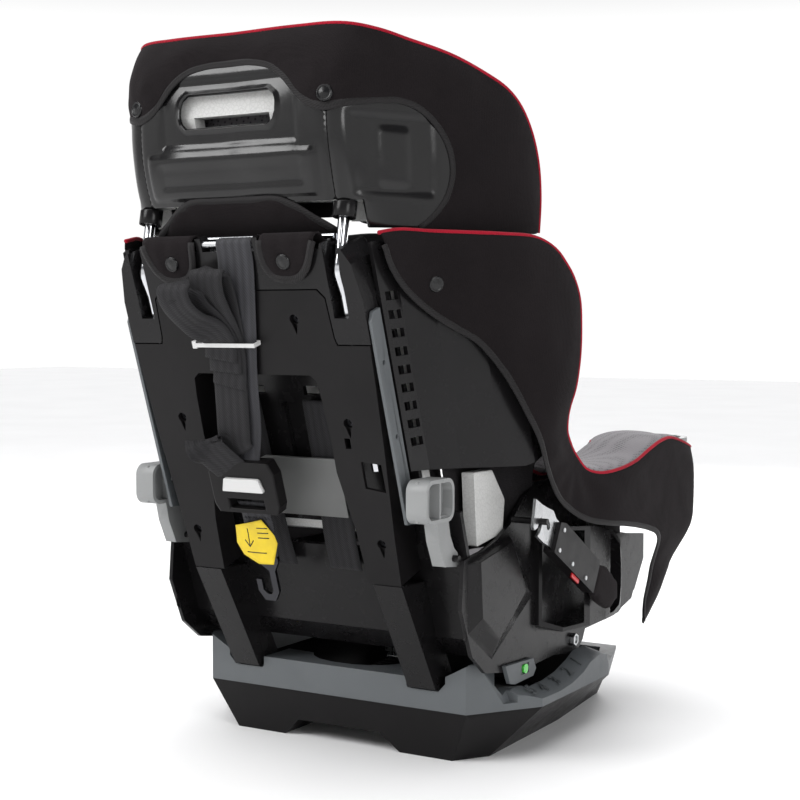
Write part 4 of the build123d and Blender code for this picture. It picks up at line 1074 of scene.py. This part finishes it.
# moulded side panels, cut level just under the cover's top edge
src = NODE["side_panels"]
me = src.data.copy()
bm = bmesh.new()
bm.from_mesh(me)
bmesh.ops.remove_doubles(bm, verts=bm.verts, dist=1e-5)
cut = bmesh.ops.bisect_plane(bm, geom=bm.verts[:] + bm.edges[:] + bm.faces[:], plane_co=(0, 0, 0.487), plane_no=(0, 0, 1), clear_outer=True)
bmesh.ops.holes_fill(bm, edges=[e for e in cut["geom_cut"] if isinstance(e, bmesh.types.BMEdge)])
bm.to_mesh(me)
bm.free()
sidep = bpy.data.objects.new("side_panels_moulded", me)
scene.collection.objects.link(sidep)
me.materials.clear()
me.materials.append(M["shell"])
b = sidep.modifiers.new("bevel", "BEVEL")
b.width = 1.2 * MM
b.segments = 3
b.limit_method = "ANGLE"
b.angle_limit = math.radians(30)
ride(sidep, "seat", "side_panels", slot="black_plastic")

# ------------------------------------------------------------ flaps of the cover that hang over the back's top
PATH = [(2.6, 244), (2.9, 262), (2.6, 272), (0.5, 280), (-5, 283.5), (-11, 281), (-15, 273), (-20.5, 267.3), (-28, 266), (-36, 267), (-44, 268), (-52, 262), (-60, 248), (-70, 240)]
PS = spline(PATH, 3)
PL = [0.0]
for a, b in zip(PS[:-1], PS[1:]):
    PL.append(PL[-1] + float(np.linalg.norm(b - a)))
PL = np.array(PL)
PSn, PSs = np.array([p[0] for p in PS]), np.array([p[1] for p in PS])


def over_top(V, off=0.0):
    x, v = V[:, 0], V[:, 1]
    n = np.interp(v, PL, PSn) + off
    sl = np.interp(v, PL, PSs)
    y = 244 + SN * sl + CS * n
    z = 224 + CS * sl - SN * n
    return np.stack([x, y, z], -1)


def flap(s, side):
    lobe = spline([(37, 36), (37.5, 24), (40, 12), (47, 3.5), (60, 0.5), (73, 2.5), (82, 10), (88, 21), (93, 34)], 4)
    lobe = [(s * p[0], p[1]) for p in lobe]
    outl = lobe + [(s * 94, 60), (s * 94, 110), (s * 92, 128), (s * 37, 128), (s * 37, 60)]

    def f(V):
        d = dist_to(V, lobe)
        off = 1.6 * (1 - np.exp(-d / 6.0)) * (V[:, 1] < 42)
        off += 0.5 * np.sin(V[:, 0] * 0.35) * (V[:, 1] < 40) * np.clip(d / 10, 0, 1)
        off -= 1.0 * np.exp(-(np.hypot(V[:, 0] - s * 61, V[:, 1] - 17) / 8) ** 2)
        P = over_top(V)
        P[:, 1] += off * CS
        P[:, 2] -= off * SN
        return P
    ob = panel(side + "_cover_flap", outl, f, 4.5, M["knit"], thick=1.4, offset=0.0)
    ride(ob, "seat", slot="black_fabric")
    V = np.array(lobe)
    P = over_top(V, 0.9)
    bb = sweep(side + "_flap_binding", [tuple(p) for p in P], [(3.6 * math.cos(a), 1.7 * math.sin(a)) for a in np.linspace(0, 2 * math.pi, 11)[:-1]], M["bind"], up=(0, CS, -SN))
    ride(bb, "seat", slot="black_fabric")
    P = over_top(np.array([(s * 61.0, 17.0)]), 1.9)[0]
    snap(side + "_flap_snap", tuple(P), (0, CS, -SN), "seat", 7.0)


for s, side in SIDES:
    flap(s, side)


# padded roll that closes the back cover's top edge, under the headrest
roll_sec = [(17.5 * math.copysign(abs(math.cos(a)) ** 0.8, math.cos(a)), 12.0 * math.copysign(abs(math.sin(a)) ** 0.8, math.sin(a))) for a in np.linspace(0, 2 * math.pi, 25)[:-1]]
roll = sweep("back_top_roll", [(x, 251 + 1.5 * math.cos(x * 0.02), 484.0 + 0.6 * math.sin(x * 0.11)) for x in np.linspace(-139, 139, 60)], roll_sec, M["knit_in"], up=(0, -0.1, 1))
ride(roll, "seat", slot="black_fabric")
rs = sweep("back_top_seam", [(x, 237, 493.2) for x in np.linspace(-138, 138, 50)], circle(1.0, 6), M["bind"])
ride(rs, "seat", slot="black_fabric")

# ------------------------------------------------------------ straps
def strap(name, stations, width, mat, body, nodes=(), slot="black_webbing", t=1.5, step=4, cup=0.0):
    """stations: (centre, outward direction)."""
    C = spline([st[0] for st in stations], step)
    D = spline([st[1] for st in stations], step) if len(stations) > 1 else None
    cum = [0.0]
    src = [np.array(st[0], float) for st in stations]
    L = [0.0]
    for a, b in zip(src[:-1], src[1:]):
        L.append(L[-1] + float(np.linalg.norm(b - a)))
    for a, b in zip(C[:-1], C[1:]):
        cum.append(cum[-1] + float(np.linalg.norm(b - a)))
    cum = np.array(cum) / max(1e-9, cum[-1])
    Ln = np.array(L) / L[-1]
    dirs = np.array([st[1] for st in stations], float)
    ups = np.stack([np.interp(cum, Ln, dirs[:, k]) for k in range(3)], -1)
    sec = web_section(width, t)
    ob = sweep(name, [tuple(c) for c in C], sec, mat, up=[tuple(u) for u in ups])
    bm = bmesh.new()
    bm.from_mesh(ob.data)
    bmesh.ops.recalc_face_normals(bm, faces=bm.faces)
    bm.to_mesh(ob.data)
    bm.free()
    return ride(ob, body, *nodes, slot=slot)


NB = (0, CS, -SN)
loop = []
for a in range(200, -1, -20):
    ca, sa = math.cos(math.radians(a)), math.sin(math.radians(a))
    loop.append((B3(-8, 276 + 4.6 * sa, -4 + 4.6 * ca), (0, CS * ca + SN * sa, -SN * ca + CS * sa)))
main = loop + [(B3(-8, 262, 1.9), NB), (B3(-5, 240, 3.2), NB), (B3(3, 200, 2.9), NB), (B3(10, 165, 3.6), NB), (B3(15, 135, 3.4), NB), (B3(20, 105, 3.0), NB), (B3(25, 82, 5.5), NB), (B3(26, 70, 8.5), NB)]
strap("tether_web", main, 38, M["web"], "seat", ("tether_strap",), t=1.6, step=3)
# the spare length, folded up under the tie
fold = [(B3(25, 78, 9.5), NB), (B3(30, 88, 8.0), NB), (B3(26, 120, 7.6), NB), (B3(20, 160, 6.2), NB), (B3(16, 186, 5.0), NB), (B3(14, 210, 6.0), NB), (B3(12, 236, 9), NB), (B3(11, 252, 12), (0, 0.8, 0.6)), (B3(11.5, 258.5, 16), (0, 0.3, 1)), (B3(12, 256, 21), (0, 1, 0.1)), (B3(14, 244, 22), NB), (B3(17, 222, 14), NB), (B3(17, 200, 7.6), NB), (B3(16, 186, 6.5), NB), (B3(19, 160, 7.6), NB), (B3(22, 146, 8.8), NB)]
strap("tether_slack_inner", fold, 36, M["web_dark"], "seat", t=1.5, step=3)
fold2 = [(B3(22, 160, 9.4), NB), (B3(20, 186, 7.9), NB), (B3(25, 205, 11.5), NB), (B3(33, 226, 22), NB), (B3(38, 243, 26), (0, 0.6, 0.6)), (B3(39.5, 250, 31), (0, 0.2, 1)), (B3(40, 246, 37.5), (0, 1, 0)), (B3(39, 232, 36.5), NB), (B3(34, 212, 24), NB), (B3(24, 196, 11.2), NB), (B3(22, 186, 9.2), NB), (B3(24, 172, 10.4), NB)]
strap("tether_slack_outer", fold2, 35, M["web_dark"], "seat", t=1.5, step=3)
fold3 = [(B3(34, 62, 12.5), NB), (B3(42, 74, 17.0), NB), (B3(50, 84, 19.5), NB), (B3(56, 92, 20.5), (0, 0.5, 0.8)), (B3(57, 95, 16.5), (0, -0.6, 0.9)), (B3(52, 88, 11.5), (0, -1, 0.3)), (B3(44, 78, 8.5), (0, -1, 0.2))]
strap("tether_end_fold", fold3, 37, M["web_dark"], "seat", t=1.5, step=3)
low = [(B3(27, 30, 6.5), NB), (B3(27, 20, 3.6), NB), (B3(27, 0, 2.9), NB), (B3(28, -16, 2.8), NB), (B3(29, -26, 2.2), NB)]
strap("tether_hook_web", low, 33, M["web"], "seat", t=1.8, step=3)
# box stitching across the lower webbing
for k in range(3):
    st = sweep("tether_stitch_%d" % k, [B3(12.5 + i * 1.6, 12 - k * 7 + (1.2 if i % 2 else -1.2), 4.1) for i in range(19)], circle(0.45, 6), M["web"])
    ride(st, "seat", slot="black_webbing")

# yellow instruction tag
TAG = [(14, -33), (30, -33), (47, -25), (54, -14), (52, 4), (20, 12), (9, -4), (7, -12)]
TAGs = [tuple(p) for p in resample(TAG, 4, True)]


def tag_f(V):
    x, sl = V[:, 0], V[:, 1]
    n = 5.6 + 1.5 * np.sin((x - 10) * 0.07) + 0.02 * np.clip(-sl, 0, 40) ** 1.5 * 0.8
    y = 244 + SN * sl + CS * n
    z = 224 + CS * sl - SN * n
    return np.stack([x, y, z], -1)


tag = panel("tether_tag_sheet", TAG, tag_f, 2.5, M["tag"], thick=0.5)
ride(tag, "seat", "tether_tag", slot="yellow_tag")
# a plain pictogram on the tag: lines and an arrow
glyphs = [[(15, 3), (27, 3)], [(15, -2), (27, -2)], [(15, -7), (27, -7)], [(38, 2), (38, -16)], [(33, -10), (38, -16.5)], [(43, -10), (38, -16.5)], [(20, -22), (42, -22)]]
for k, g in enumerate(glyphs):
    P = tag_f(np.array(spline(g, 2)))
    P[:, 1] += 0.45
    gl = sweep("tag_mark_%d" % k, [tuple(p) for p in P], circle(0.55, 6), M["snap"])
    ride(gl, "seat")

# two straps behind the guide plate
for s, side in SIDES:
    x0, x1 = s * 42, s * 38
    pts = [(B3(x0, 118, -33.0), NB), (B3(x0 - s, 70, -32.7), NB), (B3(s * 40, 20, -32.4), NB), (B3(x1, -20, -31.2), NB), (B3(x1 - s, -54, -33.4), NB)]
    ob = strap(side + "_rear_web", pts, 35.5, M["web_dark"], "seat", t=1.6)
    if s > 0:
        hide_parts("rear_straps")

# harness in front
for s, side in SIDES:
    UB = (0, SN, CS)
    NF = (0, -CS, SN)
    pts = [(B3(s * 44, 124, -82), UB), (B3(s * 44, 123, -87.5), (0, SN - CS, CS + SN)), (B3(s * 42.5, 116, -89.3), NF), (B3(s * 40, 70, -89.2), NF), (B3(s * 38, 40, -89.2), NF), (B3(s * 34, 16, -90.2), (0, -0.75, 0.6)), (B3(s * 30, -2, -112), (0, -0.3, 0.95)), ((s * 24, 60, 254), (0, -0.12, 1)), ((s * 17, 10, 249.5), (0, -0.05, 1)), ((s * 13.5, -30, 247.6), (0, 0.1, 1)), ((s * 12.5, -46, 246.4), (0, 0.1, 1))]
    ob = strap(side + "_shoulder_web", pts, 22.5, M["web_dark"], "seat", t=1.4)
    if s > 0:
        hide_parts("shoulder_straps")
ob = strap("crotch_web", [((0, -62.2, 196), (0, -1, 0)), ((0, -62.3, 170), (0, -1, 0)), ((0, -62.3, 140), (0, -1, 0)), ((0, -62.3, 106), (0, -1, 0))], 37, M["web_dark"], "seat", ("crotch_strap",), t=1.6)
ob = strap("adjuster_web", [((0, -239.2, 152), (0, -1, 0)), ((0, -239.4, 140), (0, -1, 0)), ((0, -239.4, 121), (0, -1, 0))], 24.5, M["web_dark"], "seat", ("adjuster_strap",), t=1.5)


# ------------------------------------------------------------ stuffed pieces, by cloth simulation from their plain solids
def stuffed(name, node, mat, body, voxel=5.0, shrink=1.6, cap=6.0, pressure=3.5, slot="black_fabric", sub=1, channels=None):
    src = NODE[node]
    me = src.data.copy()
    ob = bpy.data.objects.new(name, me)
    scene.collection.objects.link(ob)
    me.materials.clear()
    me.materials.append(mat)
    bpy.ops.object.select_all(action="DESELECT")
    ob.select_set(True)
    bpy.context.view_layer.objects.active = ob
    bm = bmesh.new()
    bm.from_mesh(me)
    bmesh.ops.remove_doubles(bm, verts=bm.verts, dist=1e-5)
    bm.to_mesh(me)
    bm.free()
    r = ob.modifiers.new("remesh", "REMESH")
    r.mode = "VOXEL"
    r.voxel_size = voxel * MM
    bpy.ops.object.modifier_apply(modifier=r.name)
    me = ob.data
    # start a little smaller, along the normals
    co = np.zeros(len(me.vertices) * 3)
    me.vertices.foreach_get("co", co)
    co = co.reshape(-1, 3)
    no = np.array([v.normal for v in me.vertices])
    co = co - no * shrink * MM
    me.vertices.foreach_set("co", co.ravel())
    me.update()
    sm = ob.modifiers.new("smooth", "SMOOTH")
    sm.factor = 0.6
    sm.iterations = 5
    bpy.ops.object.modifier_apply(modifier=sm.name)
    rest = np.zeros(len(ob.data.vertices) * 3)
    ob.data.vertices.foreach_get("co", rest)
    rest = rest.reshape(-1, 3)
    c = ob.modifiers.new("cloth", "CLOTH")
    c.settings.use_pressure = True
    c.settings.uniform_pressure_force = pressure
    c.settings.effector_weights.gravity = 0
    c.settings.quality = 4
    c.point_cache.frame_start = 1
    c.point_cache.frame_end = 20
    for fr in range(1, 21):
        scene.frame_set(fr)
    bpy.ops.object.modifier_apply(modifier=c.name)
    scene.frame_set(1)
    new = np.zeros(len(ob.data.vertices) * 3)
    ob.data.vertices.foreach_get("co", new)
    new = new.reshape(-1, 3)
    d = new - rest
    L = np.linalg.norm(d, axis=1, keepdims=True)
    new = rest + d * np.minimum(1, cap * MM / np.maximum(L, 1e-9))
    if channels is not None:
        new = channels(new)
    ob.data.vertices.foreach_set("co", new.ravel())
    ob.data.update()
    ob.data.polygons.foreach_set("use_smooth", [True] * len(ob.data.polygons))
    if sub:
        m = ob.modifiers.new("sub", "SUBSURF")
        m.levels = m.render_levels = sub
    ride(ob, body, node, slot=slot)
    return ob


def back_channels(co):
    P = co / MM
    n = CS * (P[:, 1] - 244) - SN * (P[:, 2] - 224)
    sl = SN * (P[:, 1] - 244) + CS * (P[:, 2] - 224)
    front = smoothstep(-74, -82, n)
    d = np.zeros(len(P))
    for k in (150, 190, 90, 50, 10):
        d += 3.0 * np.exp(-((sl - k) / 3.0) ** 2) * (np.abs(P[:, 0]) < 96)
    d += 3.2 * np.exp(-((np.abs(P[:, 0]) - 98) / 3.0) ** 2)
    P[:, 1] += d * front * CS
    P[:, 2] -= d * front * SN
    return P * MM


def seat_channels(co):
    P = co / MM
    up = smoothstep(150, 158, P[:, 2])
    d = np.zeros(len(P))
    d += 3.2 * np.exp(-((np.abs(P[:, 0]) - 96) / 3.0) ** 2)
    for k in (-190, -140, -20, 30):
        d += 3.0 * np.exp(-((P[:, 1] - k) / 3.2) ** 2) * (np.abs(P[:, 0]) < 94)
    P[:, 2] -= d * up
    return P * MM


bp = stuffed("back_pad_soft", "back_pad", M["mesh"], "seat", voxel=5, channels=back_channels)
sp = stuffed("seat_pad_soft", "seat_pad", M["mesh"], "seat", voxel=5, channels=seat_channels)
for ob, lim in ((bp, 98), (sp, 96)):
    ob.data.materials.append(M["knit_in"])
    for p in ob.data.polygons:
        if abs(p.center.x) > lim * MM:
            p.material_index = 1
stuffed("shoulder_pads_soft", "shoulder_pads", M["knit_in"], "seat", voxel=3, shrink=0.9, cap=2.0, pressure=2.0)
for s, side in SIDES:
    stuffed(side + "_latch_sleeve_soft", side + "_latch_sleeve", M["knit"], side + "_latch", voxel=3, shrink=0.8, cap=3.0, pressure=2.0)
# piping along the seat pad's channels
for s, side in SIDES:
    P = [(s * 96, y, z) for y, z in [(-232, 176), (-226, 188.5), (-205, 192), (-190, 191), (-150, 184.5), (-110, 176.5), (-60, 167), (0, 163), (60, 161), (90, 165.5), (116, 171)]]
    ride(sweep(side + "_seat_pad_piping", [tuple(q) for q in spline(P, 5)], circle(1.6, 8), M["pipe"]), "seat")
    P = [B3(s * 98, sv, -86.3) for sv in np.linspace(-36, 232, 40)]
    ride(sweep(side + "_back_pad_piping", P, circle(1.6, 8), M["pipe"]), "seat")

SK = [(-156, 176), (-80, 177), (0, 177), (80, 177), (156, 176), (158, 130), (150, 108), (60, 100), (-60, 100), (-150, 108), (-158, 130)]


def skirt_f(V):
    x, z = V[:, 0], V[:, 1]
    y = -226.5 - 3.0 * np.sin(np.clip((z - 100) / 76, 0, 1) * math.pi) + 6 * smoothstep(140, 158, np.abs(x)) + 10 * smoothstep(120, 100, z)
    y = y + wob(np.stack([x, x * 0, z], -1), 1.4, 0.03, 2.0)
    return np.stack([x, y, z], -1)


sk = panel("seat_front_skirt", SK, skirt_f, 6, M["knit"], thick=1.4, offset=1.0)
ride(sk, "seat", slot="black_fabric")
bmx = bmesh.new()
bmx.from_mesh(sk.data)
bmesh.ops.recalc_face_normals(bmx, faces=bmx.faces)
bmx.to_mesh(sk.data)
bmx.free()

# ------------------------------------------------------------ moulded numbers on the base ledges
for s, side in SIDES:
    for txt, y, z in (("5", 100, 65.6), ("4", 74, 63.0), ("3", 46, 64.2), ("2", 18, 67.6), ("1", -4, 73.0)):
        cu = bpy.data.curves.new("num", "FONT")
        cu.body = txt
        cu.size = 0.019
        cu.extrude = 0.0005
        cu.bevel_depth = 0.00012
        cu.align_x = "CENTER"
        cu.align_y = "CENTER"
        ob = bpy.data.objects.new("%s_position_%s" % (side, txt), cu)
        scene.collection.objects.link(ob)
        # the ledge slopes outward and down: text reads from outside
        out = Vector((s * 0.42, 0, 0.91)).normalized()
        right = Vector((0, s * 1.0, 0))
        upv = out.cross(right).normalized()
        mat = Matrix((right, upv, out)).transposed().to_4x4()
        mat.translation = Vector((s * 186 * MM, y * MM, (z + 0.6) * MM))
        ob.matrix_world = mat
        bpy.context.view_layer.update()
        me = bpy.data.meshes.new_from_object(ob)
        me.transform(ob.matrix_world)
        nm = ob.name
        bpy.data.objects.remove(ob)
        mo = bpy.data.objects.new(nm, me)
        scene.collection.objects.link(mo)
        me.materials.clear()
        me.materials.append(M["ink"])
        ride(mo, "base", slot="gray_plastic")


# ------------------------------------------------------------ floor and light
def floor_mat():
    m, nt, b, tc = new_mat("floor")
    nz = noise(nt, tc.outputs["Object"], 3, 2)
    nt.links.new(ramp(nt, nz, [(0.3, (0.90, 0.90, 0.90)), (0.7, (0.93, 0.93, 0.93))]), b.inputs["Base Color"])
    b.inputs["Roughness"].default_value = 0.75
    return m


fv, ff = [], []
prof = [(-3000, 0), (3000, 0)]
fl = make("floor", [(-9000, -9000, 0), (9000, -9000, 0), (9000, 9000, 0), (-9000, 9000, 0)], [(0, 1, 2, 3)], floor_mat())

world = bpy.data.worlds.new("world")
scene.world = world
world.use_nodes = True
bg = world.node_tree.nodes["Background"]
wn = world.node_tree
wtc = wn.nodes.new("ShaderNodeTexCoord")
wsep = wn.nodes.new("ShaderNodeSeparateXYZ")
wn.links.new(wtc.outputs["Generated"], wsep.inputs[0])
wn.links.new(ramp(wn, wsep.outputs[2], [(0.185, (1.02, 1.02, 1.02)), (0.30, (0.15, 0.15, 0.16))]), bg.inputs[0])
bg.inputs[1].default_value = 1.0


def area(name, loc, target, size, power, sy=None):
    d = bpy.data.lights.new(name, "AREA")
    d.energy = power
    d.size = size
    if sy:
        d.shape = "RECTANGLE"
        d.size_y = sy
    o = bpy.data.objects.new(name, d)
    scene.collection.objects.link(o)
    o.location = loc
    o.rotation_mode = "QUATERNION"
    o.rotation_quaternion = (Vector(target) - Vector(loc)).to_track_quat("-Z", "Y")
    return o


area("key", (1.1, 1.9, 1.7), (0, 0.1, 0.35), 1.0, 30)
area("rear_fill", (-2.1, 1.3, 1.2), (0, 0.1, 0.3), 0.9, 17)
sun_data = bpy.data.lights.new("sky", "SUN")
sun_data.energy = 2.7
sun_data.angle = math.radians(70)
sun = bpy.data.objects.new("sky", sun_data)
scene.collection.objects.link(sun)
sun.rotation_euler = (math.radians(-8), math.radians(6), 0)
area("front", (0.3, -2.2, 1.5), (0, 0, 0.35), 1.4, 30)
scene.view_settings.view_transform = "Standard"
scene.view_settings.look = "None"
